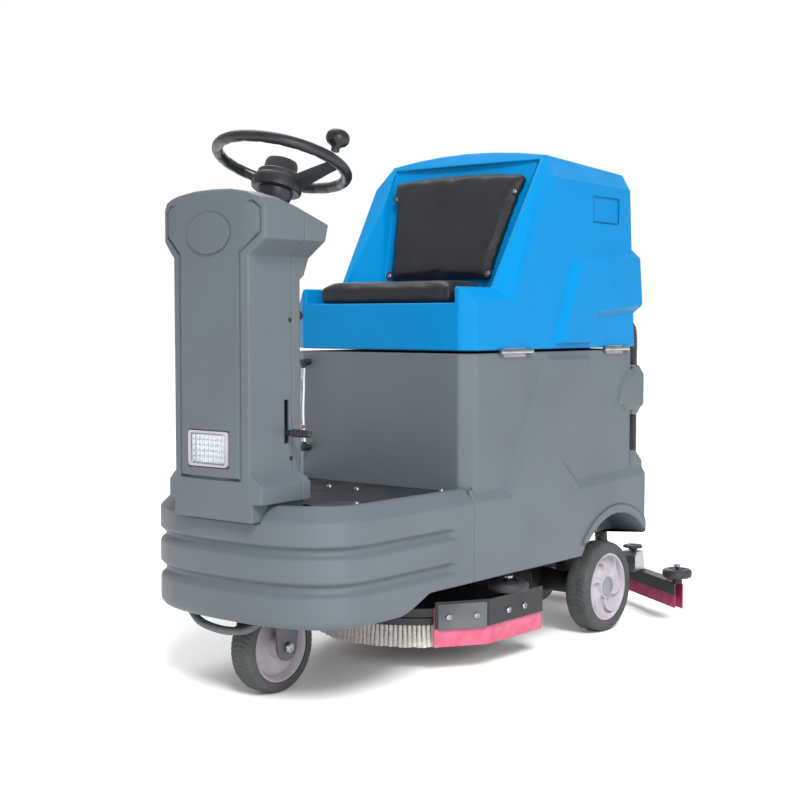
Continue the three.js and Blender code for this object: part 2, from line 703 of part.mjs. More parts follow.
function recoveryTank() {
  const station = (x, outline) => outline.map(([y, z]) => [x, y, z]);
  const stations = [-CORNER, -155, -78, 0, 78, 155, CORNER].map((x) => station(x, tankSide(x)));
  const outer = loft([station(-SEAM, tankEdge), ...stations, station(SEAM, tankEdge)]);
  const seatRecess = loft([
    [[221, 300, SEAT_Z], [221, 478, SEAT_Z], [172, 572, SEAT_Z],
      [-172, 572, SEAT_Z], [-221, 478, SEAT_Z], [-221, 300, SEAT_Z]],
    [[221, 300, 1168], [221, 643, 1168], [219, 687, 1168],
      [-219, 687, 1168], [-221, 643, 1168], [-221, 300, 1168]],
  ]);
  const rearBulge = loft([
    [[-240, 1046, 803], [240, 1046, 803], [240, 1046, 985], [-240, 1046, 985]],
    [[-232, 1079, 829], [232, 1079, 829], [232, 1079, 948], [-232, 1079, 948]],
  ]);
  const fields = raisedField(fieldBase, fieldTop, SEAM - 16, SKIN);
  const panel = (side) => block(side > 0 ? 259 : -300, side > 0 ? 300 : -259, 853, 971, 1030, 1092);
  const dirtyWater = loft([
    [[-215, 600, 745], [215, 600, 745], [215, 1020, 745], [-215, 1020, 745]],
    [[-200, 725, 1140], [200, 725, 1140], [200, 1012, 1140], [-200, 1012, 1140]],
  ]);
  const mouth = block(-120, 120, 780, 960, 1100, 1300);
  const lidSeat = prism("Z", roundRect(-142, 142, -118, 118, 26), 0, 60);
  lidSeat.rotateX(LID.rotation.x).translate(...LID.position.toArray());
  const motorRoom = block(-195, 195, 395, 570, 700, 812);
  return cut(join(outer, rearBulge, ...fields), seatRecess, dirtyWater, mouth, lidSeat,
    motorRoom,
    cut(panel(1), block(0, 264.5, 700, 1100, 900, 1200)),
    cut(panel(-1), block(-264.5, 0, 700, 1100, 900, 1200)));
}
add("recovery_tank", recoveryTank(), blueShell);
add(
  "tank_lid",
  join(
    prism("Z", roundRect(-138, 138, -110, 110, 24), GAP, 9),
    block(-110, 110, -80, 80, -20, 1),
  ),
  blueShell,
  LID,
);

const cushionPlan = [[208, 364], [208, 476], [162, 556], [-162, 556], [-208, 476], [-208, 364]];
add("seat_cushion", prism("Z", cushionPlan, SEAT_Z + GAP, 868), blackVinyl);

const BACK_LEAN = Math.atan2(93, 272);
function backrest() {
  const low = [[-162, 6], [-152, -6], [152, -6], [162, 6]];
  const high = [[208, 272], [194, 286], [100, 293], [0, 296], [-100, 293], [-194, 286], [-208, 272]];
  return prism("Y", [...low, ...high], 0, 18).rotateX(-BACK_LEAN).translate(0, 569, 880);
}
add("backrest_pad", backrest(), blackVinyl);
add("vacuum_motor", rod("Z", [60, 482, 0], 72, SEAM_Z + 20, 811.7, 28), blackPlastic);

// ---------- seam hinges on the left side ----------
const HINGE = [SEAM + 6.5, SEAM_Z - 0.5];
for (const [name, y0, y1] of [["front", 450, 578], ["rear", 896, 1014]]) {
  const barrel = rod("Y", [HINGE[0], 0, HINGE[1]], 5.5, y0, y1, 14);
  add(`tank_hinge_${name}`, barrel, zinc);
}

// ---------- batteries ----------
for (const [name, x] of [["left", 88], ["right", -88]]) {
  const terminals = [430, 690].map((y) => rod("Z", [x, y, 0], 8, 565, 582, 12));
  const caseBlock = block(x - 86, x + 86, 396, 726, 345 + GAP, 566);
  add(`battery_${name}`, join(caseBlock, ...terminals), blackPlastic);
}

// ---------- sight tube for the clean water level ----------
const SIGHT = [-212, TANK_FRONT - 20];
function sightTube() {
  const elbows = [690, 485].flatMap((z) => [
    rod("Y", [SIGHT[0], 0, z], 8, SIGHT[1] - 8, TANK_FRONT - GAP, 14),
    rod("Z", [...SIGHT, 0], 7, z - 14, z + 14, 14),
  ]);
  const bow = [[0, 0, 686], [-1, -2, 630], [-4, -1, 560], [0, 0, 490]];
  const hose = tube(bow.map(([x, y, z]) => [SIGHT[0] + x, SIGHT[1] + y, z]), 5, 8, 6);
  return join(hose, ...elbows);
}
add("sight_tube", sightTube(), clear);

// ---------- pedal and lift lever ----------
const PEDAL = new THREE.Group();
PEDAL.position.set(-176, 40, FLOOR_Z + 6);
part.add(PEDAL);
add(
  "accelerator_pedal",
  prism("X", [[120, 0], [122, 8], [2, 54], [-6, 48], [-2, 36]], -30, 30),
  blackPlastic,
  PEDAL,
);
const LEVER_Z = 562;
add(
  "lift_lever",
  join(
    rod("X", [0, SLOT_Y, LEVER_Z], 5, 70, 128, 12),
    turned(
      "X",
      [118, SLOT_Y, LEVER_Z],
      [[0, 0], [6, 0], [7.5, 8], [8.5, 30], [7.5, 50], [5, 56], [0, 56]],
      16,
    ),
    block(60, 84, SLOT_Y - 12, SLOT_Y + 12, LEVER_Z - 14, LEVER_Z + 14),
  ),
  blackPlastic,
);

// ---------- squeegee ----------
const APEX_Y = 1322;
const WING_X = 352;
const WING_Y = 1124;
// Half of the swept line of the squeegee, from the middle out to a reach.
const BEND = 0.03; // how softly the line turns at the middle
function sweep(offset, reach) {
  const rise = (t) => Math.sqrt(t * t + BEND) - Math.sqrt(BEND);
  return Array.from({ length: 8 }, (_, i) => {
    const t = (i / 7) * (reach / WING_X);
    return [WING_X * t, APEX_Y - ((APEX_Y - WING_Y) * rise(t)) / rise(1) + offset];
  });
}
function sweptBar(front, rear, z0, z1, reach = WING_X) {
  const ahead = sweep(front, reach);
  const behind = sweep(rear, reach);
  const left = (points) => points.slice(1).map(([x, y]) => [-x, y]).reverse();
  const outline = [...left(behind), ...behind, ...ahead.slice().reverse(), ...left(ahead).reverse()];
  return prism("Z", outline, z0, z1);
}
const BEAM_TOP = 108;
const TIP_WHEEL = [350, 1142];
function wheelSeat() {
  return join(
    rod("Z", [...TIP_WHEEL, 0], 5, BEAM_TOP - 2, 150, 14),
    rod("Z", [...TIP_WHEEL, 0], 13, BEAM_TOP - 2, 120.3, 14),
  );
}
function squeegeeBeam() {
  const roof = sweptBar(0, 44, BEAM_TOP - 5, BEAM_TOP);
  const frontWall = sweptBar(0, 5, 76, BEAM_TOP - 4);
  const rearWall = sweptBar(39, 44, 76, BEAM_TOP - 4);
  const port = rod("Z", [0, APEX_Y + 22, 0], 18, 50, 150);
  return cut(join(roof, frontWall, rearWall, wheelSeat(), mirrored(wheelSeat())), port);
}
add("squeegee_beam", squeegeeBeam(), blackSteel);
add("front_blade", sweptBar(5.4, 9, 42, 102.7, WING_X - 2), bladeRubber);
add("rear_blade", sweptBar(34.8, 38.6, 38, 102.7, WING_X + 8), bladeRubber);
const nozzle = [0, APEX_Y + 22];
const CLAMP_X = 168;
const CLAMP_Y = 1232;
for (const side of [1, -1]) {
  const name = side > 0 ? "left" : "right";
  const place = (solid) => (side > 0 ? solid : mirrored(solid));
  const wheel = [
    [5.5, 0], [33, 0], [38, 5], [38, 18], [34, 23], [5.5, 23], [5.5, 0],
  ];
  add(`squeegee_wheel_${name}`, place(turned("Z", [...TIP_WHEEL, 121], wheel, 20)), blackPlastic);
  const knob = join(
    rod("Z", [CLAMP_X, CLAMP_Y, 0], 5.5, 134, 172, 12),
    rod("Z", [CLAMP_X, CLAMP_Y, 0], 12, 164, 180, 16),
    ...[0, 1, 2, 3, 4].map((i) =>
      block(-6, 6, 8, 28, 170, 180).rotateZ((2 * Math.PI * i) / 5).translate(CLAMP_X, CLAMP_Y, 0),
    ),
  );
  add(`squeegee_knob_${name}`, place(knob), blackPlastic);
}
const ARM_END = [1190, 128];
function squeegeeArm() {
  const bar = [
    [ARM_PIVOT[0] - 12, ARM_PIVOT[1] + 3], [ARM_PIVOT[0] - 10, ARM_PIVOT[1] - 11],
    [ARM_END[0] - 2, ARM_END[1] - 12], [ARM_END[0] + 12, ARM_END[1] + 2],
    [ARM_END[0] + 2, ARM_END[1] + 12], [ARM_PIVOT[0] + 4, ARM_PIVOT[1] + 12],
  ];
  const side = (x) => prism("X", bar, x - 5, x + 5);
  const tie = rod("X", [0, ...ARM_END], 6, -100, 100, 14);
  const pivot = rod("X", [0, ...ARM_PIVOT], 6, -124, 124, 14);
  return join(side(96), side(-96), tie, pivot);
}
add("squeegee_arm", squeegeeArm(), zinc);
function carrier() {
  const plate = block(-190, 190, 1206, 1262, BEAM_TOP + GAP, BEAM_TOP + 5.3);
  const eye = cut(
    prism("X", [[1176, 112], [1206.5, 108.5], [1206.5, 142], [1190, 144], [1176, 138]], -70, 70),
    rod("X", [0, ...ARM_END], 6.5, -100, 100, 14),
  );
  const saddleSide = [[-26, 109], [26, 109], [26, 118], [18, 162], [-18, 162], [-26, 150]];
  const saddle = cut(
    prism("X", saddleSide.map(([y, z]) => [CLAMP_Y + y, z]), CLAMP_X - 22, CLAMP_X + 22),
    rod("Z", [CLAMP_X, CLAMP_Y, 0], 6, 125, 200, 14),
  );
  const strut = block(-16, 16, 1255, nozzle[1] - 20, BEAM_TOP + GAP, BEAM_TOP + 5.3);
  const pipe = washer("Z", [...nozzle, 0], 17, 26, BEAM_TOP + GAP, 158, 28);
  return join(plate, eye, saddle, mirrored(saddle), strut, pipe);
}
add("squeegee_carrier", carrier(), zinc);
// ---------- hoses and wiring ----------
const suctionRoute = [
  [0, nozzle[1], 159], [0, nozzle[1], 205], [40, 1310, 290], [90, 1225, 400], [110, 1160, 530],
  [90, 1122, 660], [66, 1110, 780], [60, 1106, 880], [60, 1102, 965], [60, 1088, 1020],
  [60, 1070, 1034],
];
add("suction_hose", tube(suctionRoute, 19, 26, 8), blackPlastic);
const drainRoute = [
  [225, 1078, 780], [226, 1096, 774], [227, 1109, 745], [226, 1111, 620], [222, 1118, 480],
  [220, 1122, 380], [219, 1118, 300], [219, 1116, 262],
];
add("drain_hose", tube(drainRoute, 16, 14, 8), blackPlastic);
const conduitRoute = [
  [-168, -94, 236], [-150, -101, 190], [-110, -113, 160], [-60, -122, 151], [0, -124, 150],
  [50, -118, 160], [78, -106, 188], [88, -100, 236],
];
add("wiring_conduit", tube(conduitRoute, 9, 16, 6), blackPlastic);

part.position.y = -AXLE_TO_MIDDLE;
export default part;
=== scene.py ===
"""Ride-on floor scrubber-dryer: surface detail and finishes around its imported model.

Lengths in the code are millimetres of the machine, with Y from the front axle, unless a name ends
in _m. The front looks along -Y, the machine's left side is +X and +Z is up.
"""

import math
import random

import bmesh
import bpy
from mathutils import Matrix, Vector


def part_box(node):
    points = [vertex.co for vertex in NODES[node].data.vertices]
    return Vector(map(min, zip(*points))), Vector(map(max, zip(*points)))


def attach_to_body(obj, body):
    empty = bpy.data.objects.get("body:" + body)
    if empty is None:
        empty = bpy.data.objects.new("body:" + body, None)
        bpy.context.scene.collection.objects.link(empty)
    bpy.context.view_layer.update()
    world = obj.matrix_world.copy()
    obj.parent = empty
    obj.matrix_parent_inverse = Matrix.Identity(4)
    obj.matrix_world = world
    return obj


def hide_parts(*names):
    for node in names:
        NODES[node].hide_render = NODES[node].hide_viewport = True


bl_info = {
    "name": "Ride-on Floor Scrubber-Dryer",
    "version": (1, 0, 0),
    "blender": (4, 5, 0),
    "location": "3D View > Sidebar > Scrubber",
    "description": "Builds the finishes and fine detail of a ride-on floor scrubber-dryer",
    "category": "Object",
}

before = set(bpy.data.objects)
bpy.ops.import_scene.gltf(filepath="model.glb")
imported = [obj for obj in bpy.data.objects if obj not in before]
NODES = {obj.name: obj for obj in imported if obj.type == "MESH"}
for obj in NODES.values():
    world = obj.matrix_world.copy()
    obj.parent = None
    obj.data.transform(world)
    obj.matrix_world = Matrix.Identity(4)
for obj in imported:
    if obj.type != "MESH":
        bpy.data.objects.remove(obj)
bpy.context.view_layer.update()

AXLE_TO_MIDDLE = 593  # front axle to the middle of the overall length
DASH_SLOPE = math.radians(18)
BACKREST_SLOPE = math.atan2(93, 272)
RIM_RADIUS = 139  # steering wheel, to the middle of its grip
KNOB_ANGLE = 0.05
BRUSH_Y = 484
COVER_SCALE = 0.98  # a cushion cover before it swells
FLOOR_HALF_M = 30


# ---------- places ----------
def at(x, y, z):
    """A point of the machine in millimetres, as a place in the scene in metres."""
    return Vector((x, y - AXLE_TO_MIDDLE, z)) / 1000


def place(x, y, z, turn=Matrix.Identity(4)):
    return Matrix.Translation(at(x, y, z)) @ turn


def inside(where, x, y, z):
    """A point given in a place's own millimetres."""
    return where @ (Vector((x, y, z)) / 1000)


def shifted(where, x, y, z):
    """A place moved along its own axes, in millimetres."""
    return where @ Matrix.Translation(Vector((x, y, z)) / 1000)


def facing(x, y):
    """A turn that sets Z along a level direction, with Y up."""
    ahead, up = Vector((x, y, 0)).normalized(), Vector((0, 0, 1))
    return Matrix((up.cross(ahead), up, ahead)).transposed().to_4x4()


ALONG_X = Matrix.Rotation(math.radians(90), 4, "Y")
ALONG_MINUS_X = Matrix.Rotation(math.radians(-90), 4, "Y")
ALONG_Y = Matrix.Rotation(math.radians(-90), 4, "X")
ALONG_MINUS_Y = Matrix.Rotation(math.radians(90), 4, "X")
TILTED = Matrix.Rotation(-DASH_SLOPE, 4, "X")
WHEEL = place(0, 37, 1121, TILTED)
DASH = place(0, -44, 1006, TILTED)


# ---------- materials ----------
def linear(hex_colour):
    """An sRGB hex colour as linear red, green, blue and alpha."""
    values = [int(hex_colour[i : i + 2], 16) / 255 for i in (1, 3, 5)]
    return [v / 12.92 if v <= 0.04045 else ((v + 0.055) / 1.055) ** 2.4 for v in values] + [1.0]


def node(tree, kind, settings=None, links=None):
    """Adds a node, sets its values and sockets, and links sockets into it."""
    made = tree.nodes.new(kind)
    for key, value in (settings or {}).items():
        if isinstance(key, int) or key in made.inputs:
            made.inputs[key].default_value = value
        else:
            setattr(made, key, value)
    for key, socket in (links or {}).items():
        tree.links.new(socket, made.inputs[key])
    return made


def finish(name, colours, patch_mm, grain_mm, relief_mm, roughness, round_mm=0, cells=False, **shader):
    """A material with drifting colour, a grained surface and rounded edges."""
    made = bpy.data.materials.new(name)
    made.use_nodes = True
    tree = made.node_tree
    tree.nodes.clear()
    where = node(tree, "ShaderNodeTexCoord").outputs["Object"]
    drift = node(tree, "ShaderNodeTexNoise", {"Scale": 1000 / patch_mm, "Detail": 5.0}, {"Vector": where})
    spread = node(tree, "ShaderNodeMapRange", {1: 0.35, 2: 0.65}, {0: drift.outputs[0]})
    tint = node(
        tree,
        "ShaderNodeMix",
        {"data_type": "RGBA", 6: linear(colours[0]), 7: linear(colours[1])},
        {0: spread.outputs[0]},
    )
    kind = "ShaderNodeTexVoronoi" if cells else "ShaderNodeTexNoise"
    grain = node(tree, kind, {"Scale": 1000 / grain_mm}, {"Vector": where})
    low, high = roughness
    rough = node(tree, "ShaderNodeMapRange", {1: 0.3, 2: 0.7, 3: low, 4: high}, {0: drift.outputs[0]})
    links = {"Height": grain.outputs[0]}
    if round_mm:
        edge = node(tree, "ShaderNodeBevel", {"samples": 4, "Radius": round_mm / 1000})
        links["Normal"] = edge.outputs[0]
    bump = node(tree, "ShaderNodeBump", {"Strength": 0.6, "Distance": relief_mm / 1000}, links)
    surface = node(
        tree,
        "ShaderNodeBsdfPrincipled",
        shader,
        {"Base Color": tint.outputs[2], "Roughness": rough.outputs[0], "Normal": bump.outputs[0]},
    )
    node(tree, "ShaderNodeOutputMaterial", None, {"Surface": surface.outputs[0]})
    return made


def make_materials(look):
    """Every finish of the machine, by what it is made of."""
    grey, blue = hex_of(look.grey), hex_of(look.blue)
    return {
        # Rotomoulded polyethylene: a soft satin skin with a fine sandy grain and faint cloudiness.
        "grey": finish("grey_moulded_polyethylene", (grey, shade(grey, 0.97)), 240, 1.6, 0.25, (0.42, 0.56),
                       round_mm=5, IOR=1.5),
        "blue": finish("blue_moulded_polyethylene", (blue, shade(blue, 0.97)), 240, 1.8, 0.2, (0.34, 0.46),
                       round_mm=5, IOR=1.5, **{"Specular IOR Level": 0.12}),
        # Black nylon mouldings: near black, slightly broken highlights.
        "nylon": finish("black_moulded_nylon", ("#232427", "#2b2c30"), 40, 0.9, 0.12, (0.38, 0.55),
                        round_mm=1.2, IOR=1.52),
        # Polyurethane skin of a grip: smoother and a little glossier than the nylon.
        "grip": finish("black_grip_polyurethane", ("#17181a", "#212226"), 50, 1.2, 0.1, (0.3, 0.42), IOR=1.5),
        # Coated upholstery vinyl: pebbled leather grain, low sheen.
        "vinyl": finish("black_grained_vinyl", ("#151619", "#1b1c20"), 90, 2.6, 0.5, (0.42, 0.6), cells=True,
                        IOR=1.48),
        # Powder coat on steel: deep black with a fine orange peel.
        "coat": finish("black_powder_coat", ("#151618", "#202124"), 60, 2.2, 0.15, (0.34, 0.5), round_mm=1.2,
                       IOR=1.5),
        # Zinc plate: pale bluish metal, cloudy rather than mirror-like.
        "zinc": finish("zinc_plated_steel", ("#b9bbbe", "#a8aaad"), 45, 0.8, 0.06, (0.22, 0.4), round_mm=0.8,
                       Metallic=1.0),
        # Grey paint on steel plate.
        "plate": finish("grey_painted_steel", ("#565a5d", "#4c5053"), 60, 2, 0.12, (0.38, 0.52), round_mm=1),
        # Chromed reflector: nearly a mirror, with a faint white glow that is painted light, not a lit lamp.
        "chrome": finish("chromed_reflector", ("#f4f5f7", "#e9ebee"), 60, 4, 0.05, (0.12, 0.2), Metallic=1.0,
                         **{"Emission Color": linear("#ffffff"), "Emission Strength": 0.2}),
        # Non-marking grey tyre rubber: dull, with dusty lighter patches.
        "tyre": finish("grey_non_marking_rubber", ("#3b3f40", "#474a49"), 30, 1.4, 0.3, (0.72, 0.9), IOR=1.5),
        # Moulded wheel centre: pale, slightly violet grey nylon.
        "hub": finish("pale_wheel_nylon", ("#9b969d", "#a8a3aa"), 50, 1.4, 0.12, (0.4, 0.52), round_mm=2,
                      IOR=1.5),
        "cap": finish("grey_wheel_cap_nylon", ("#7c8086", "#6f7379"), 40, 1.4, 0.1, (0.38, 0.5), round_mm=1),
        # Cast polyurethane skirt: rosy and cloudy, as if lit from within.
        "skirt": finish("rose_cast_polyurethane", ("#c25c78", "#b24b66"), 26, 3, 0.3, (0.35, 0.55),
                        round_mm=1.5, **{"Subsurface Weight": 0.15, "Subsurface Scale": 0.006}),
        # Gum rubber wiper: wine red and matt.
        "gum": finish("wine_gum_rubber", ("#a8305f", "#8d2650"), 30, 2, 0.2, (0.5, 0.68), round_mm=0.6),
        # Nylon bristle, and the stiffer green ones among it.
        "bristle": finish("pale_nylon_bristle", ("#d2cfca", "#b4b0aa"), 7, 0.7, 0.4, (0.5, 0.7)),
        "green": finish("green_nylon_bristle", ("#4f9a63", "#3c8250"), 7, 0.7, 0.4, (0.5, 0.7)),
        # Ribbed rubber mat: its ribs are in the mesh, the rest is a dusty matt black.
        "mat": finish("black_ribbed_rubber", ("#25272a", "#303236"), 60, 1.5, 0.2, (0.6, 0.8)),
        # Clear moulded acrylic.
        "clear": finish("clear_acrylic", ("#f4f7f8", "#eef3f5"), 60, 9, 0.02, (0.04, 0.08), IOR=1.49,
                        **{"Transmission Weight": 0.95}),
        "screen": finish("dark_display_glass", ("#0c1416", "#131d20"), 80, 30, 0.01, (0.06, 0.12), IOR=1.5),
        "segment": finish("pale_display_film", ("#9fb5a6", "#93aa9b"), 30, 3, 0.02, (0.4, 0.5)),
        # Opaque gloss ABS in signal colours.
        "orange": finish("orange_abs", ("#f07818", "#e66c10"), 20, 2, 0.05, (0.25, 0.35), round_mm=0.8),
        "red": finish("red_abs", ("#c8202a", "#b01a22"), 20, 2, 0.05, (0.3, 0.4), round_mm=0.5),
    }


def hex_of(colour):
    """A colour property as an sRGB hex value."""
    return "#" + "".join(f"{round(255 * c):02x}" for c in colour)


def shade(hex_colour, factor):
    return "#" + "".join(f"{round(int(hex_colour[i : i + 2], 16) * factor):02x}" for i in (1, 3, 5))


FINISHES = {}


# ---------- meshes ----------
def show(name, bm, material, body, replaces=(), smooth=32):
    """Turns a bmesh in scene metres into a piece that rides on a body."""
    mesh = bpy.data.meshes.new(name)
    bmesh.ops.recalc_face_normals(bm, faces=bm.faces)
    bm.to_mesh(mesh)
    bm.free()
    mesh.shade_smooth()
    mesh.set_sharp_from_angle(angle=math.radians(smooth))
    return attach(name, mesh, material, body, replaces)


def attach(name, mesh, material, body, replaces=()):
    """Gives a finished mesh its material, and a body to ride on."""
    mesh.materials.clear()
    mesh.materials.append(FINISHES[material])
    piece = bpy.data.objects.new(name, mesh)
    bpy.context.scene.collection.objects.link(piece)
    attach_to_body(piece, body)
    if replaces:
        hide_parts(*replaces)
    return piece


def loft(bm, rings):
    """A closed form through rings of points, all of one length."""
    rows = [[bm.verts.new(p) for p in ring] for ring in rings]
    count = len(rows[0])
    for low, high in zip(rows, rows[1:]):
        for i in range(count):
            j = (i + 1) % count
            bm.faces.new((low[i], low[j], high[j], high[i]))
    bm.faces.new(rows[0][::-1])
    bm.faces.new(rows[-1])


def stack(bm, where, layers):
    """A loft through outlines in a place's XY, each with its height along Z, in millimetres."""
    loft(bm, [[inside(where, x, y, height) for x, y in outline] for outline, height in layers])


def turn(bm, profile, where, steps=48, wave=None):
    """A round form about the local Z of a place. The profile is (radius, height) in millimetres."""
    rings = []
    for i in range(steps):
        angle = 2 * math.pi * i / steps
        ring = []
        for r, h in profile:
            reach = r + (wave(angle, r, h) if wave else 0)
            ring.append(inside(where, reach * math.cos(angle), reach * math.sin(angle), h))
        rings.append(ring)
    rows = [[bm.verts.new(p) for p in ring] for ring in rings]
    count = len(profile)
    for i in range(steps):
        a, b = rows[i], rows[(i + 1) % steps]
        for k in range(count - 1):
            bm.faces.new((a[k], b[k], b[k + 1], a[k + 1]))
    bmesh.ops.remove_doubles(bm, verts=[v for row in rows for v in row], dist=1e-6)


def rounded(bm, edges_over, width):
    """Rounds the sharp edges of a form by a width in millimetres."""
    sharp = [e for e in bm.edges if len(e.link_faces) == 2 and e.calc_face_angle() > math.radians(edges_over)]
    bmesh.ops.bevel(bm, geom=sharp, offset=width / 1000, segments=2, profile=0.6, affect="EDGES",
                    clamp_overlap=True)


def slab(bm, outline, where, low, high):
    """An outline in a place's XY, in millimetres, given a thickness along its Z."""
    stack(bm, where, ((outline, low), (outline, high)))


def rectangle(width, height, radius=0, middle=(0, 0), steps=4):
    """A rectangle with round corners, as an outline."""
    points = []
    for quarter, (sx, sy) in enumerate(((1, 1), (-1, 1), (-1, -1), (1, -1))):
        for i in range(steps + 1) if radius else (0,):
            angle = math.pi / 2 * (quarter + i / steps)
            x = sx * (width / 2 - radius) + radius * math.cos(angle)
            y = sy * (height / 2 - radius) + radius * math.sin(angle)
            points.append((middle[0] + x, middle[1] + y))
    return points


def screw(bm, where, radius, head=2.4):
    """A pan head with a hexagon socket, standing on a place's XY."""
    profile = [(0, head * 0.3), (radius * 0.42, head * 0.3), (radius * 0.5, head),
               (radius * 0.8, head * 0.92), (radius, head * 0.45), (radius, -0.6), (0, -0.6)]
    turn(bm, profile, where, 24)


def path_points(points, step):
    """Even points, in scene metres, along a smooth curve through points in millimetres."""
    spots = [at(*p) for p in points]
    ends = [2 * spots[0] - spots[1], *spots, 2 * spots[-1] - spots[-2]]
    fine = []
    for a, b, c, d in zip(ends, ends[1:], ends[2:], ends[3:]):
        for i in range(24):
            t = i / 24
            fine.append(0.5 * (2 * b + (c - a) * t + (2 * a - 5 * b + 4 * c - d) * t * t
                               + (3 * b - a - 3 * c + d) * t**3))
    fine.append(spots[-1])
    length = sum((q - p).length for p, q in zip(fine, fine[1:]))
    count = max(2, round(length * 1000 / step))
    even, walked, k = [], 0.0, 0
    for i in range(count + 1):
        goal = length * i / count
        while k < len(fine) - 2 and walked + (fine[k + 1] - fine[k]).length < goal:
            walked += (fine[k + 1] - fine[k]).length
            k += 1
        span = (fine[k + 1] - fine[k]).length or 1.0
        even.append(fine[k].lerp(fine[k + 1], min(1.0, (goal - walked) / span)))
    return even


def hose(bm, points, radius, pitch=0, depth=0, sides=16):
    """A tube along points in millimetres; with a pitch its wall is corrugated."""
    step = pitch / 4 if pitch else radius
    even = path_points(points, step)
    side = Vector((1, 0, 0))
    rings = []
    for i, spot in enumerate(even):
        ahead = (even[min(i + 1, len(even) - 1)] - even[max(i - 1, 0)]).normalized()
        side = (side - ahead * side.dot(ahead)).normalized()
        up = ahead.cross(side)
        dip = (0, 0.5, 1, 0.5)[i % 4] * depth if pitch else 0
        r = (radius - dip) / 1000
        angles = [2 * math.pi * k / sides for k in range(sides)]
        rings.append([spot + side * (r * math.cos(a)) + up * (r * math.sin(a)) for a in angles])
    loft(bm, rings)


def refined(name, material, body, width):
    """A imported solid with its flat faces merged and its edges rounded, in place of its node."""
    bm = bmesh.new()
    bm.from_mesh(NODES[name].data)
    bmesh.ops.remove_doubles(bm, verts=bm.verts, dist=5e-5)
    bmesh.ops.dissolve_limit(bm, angle_limit=math.radians(1.2), verts=bm.verts, edges=bm.edges)
    # Edges shorter than about half the rounding would fold over in it.
    bmesh.ops.dissolve_degenerate(bm, dist=width / 2200, edges=bm.edges)
    mesh = bpy.data.meshes.new(name + "_rough")
    bm.to_mesh(mesh)
    bm.free()
    mesh.shade_smooth()
    rough = bpy.data.objects.new(name + "_rough", mesh)
    bpy.context.scene.collection.objects.link(rough)
    bevel = rough.modifiers.new("Round", "BEVEL")
    bevel.width = width / 1000
    bevel.segments = 2
    bevel.limit_method = "ANGLE"
    bevel.angle_limit = math.radians(14)
    bevel.use_clamp_overlap = False
    flat = rough.modifiers.new("Flat faces", "WEIGHTED_NORMAL")
    flat.mode = "FACE_AREA"
    flat.weight = 80
    graph = bpy.context.evaluated_depsgraph_get()
    done = bpy.data.meshes.new_from_object(rough.evaluated_get(graph), preserve_all_data_layers=True,
                                           depsgraph=graph)
    done.name = name + "_shell"
    bpy.data.objects.remove(rough)
    return attach(name + "_shell", done, material, body, (name,))


# ---------- settings ----------
def colour_property(label, text, default):
    """A colour picker that holds sRGB values."""
    values = [int(default[i : i + 2], 16) / 255 for i in (1, 3, 5)]
    return bpy.props.FloatVectorProperty(name=label, description=text, subtype="COLOR_GAMMA", size=3,
                                         min=0, max=1, default=values)


def length_property(label, text, default):
    return bpy.props.FloatProperty(name=label, description=text, subtype="DISTANCE", unit="LENGTH",
                                   min=0, default=default)


class ScrubberBody(bpy.types.PropertyGroup):
    grey: colour_property("Lower colour", "Grey of the deck, column and clean-water tank", "#535c61")
    blue: colour_property("Upper colour", "Blue of the recovery tank and its lid", "#0076b0")
    edge: length_property("Edge rounding", "Radius of the moulded edges", 0.004)


class ScrubberSeat(bpy.types.PropertyGroup):
    voxel: length_property("Voxel", "Mesh size of the cushions while they swell", 0.006)
    pressure: bpy.props.FloatProperty(name="Pressure", description="How hard the cushions are stuffed",
                                      default=4.0, min=0)
    swell: length_property("Swell", "Furthest that a cushion's skin may move", 0.012)


class ScrubberWheels(bpy.types.PropertyGroup):
    blocks: bpy.props.IntProperty(name="Tread blocks", description="Tread blocks round a tyre",
                                  default=54, min=8)
    spokes: bpy.props.IntProperty(name="Spokes", description="Curved ribs in a rear wheel", default=6, min=3)


class ScrubberBrush(bpy.types.PropertyGroup):
    rows: bpy.props.IntProperty(name="Tuft rows", description="Rings of tufts in the brush", default=6, min=1)
    pitch: length_property("Tuft spacing", "Distance between tufts in a row", 0.0105)


class ScrubberStudio(bpy.types.PropertyGroup):
    floor: colour_property("Floor", "Colour of the floor", "#fbfbfb")
    key: bpy.props.FloatProperty(name="Key light", description="Watts per square metre of the main light",
                                 default=3.5, min=0)
    sky: bpy.props.FloatProperty(name="Sky", description="Brightness of the surroundings", default=1.0, min=0)


class Builder(bpy.types.Operator):
    """Shared by the operators that build pieces"""

    bl_options = {"REGISTER"}

    def execute(self, context):
        if not FINISHES:
            FINISHES.update(make_materials(context.scene.scrubber_body))
        self.build(context.scene)
        return {"FINISHED"}


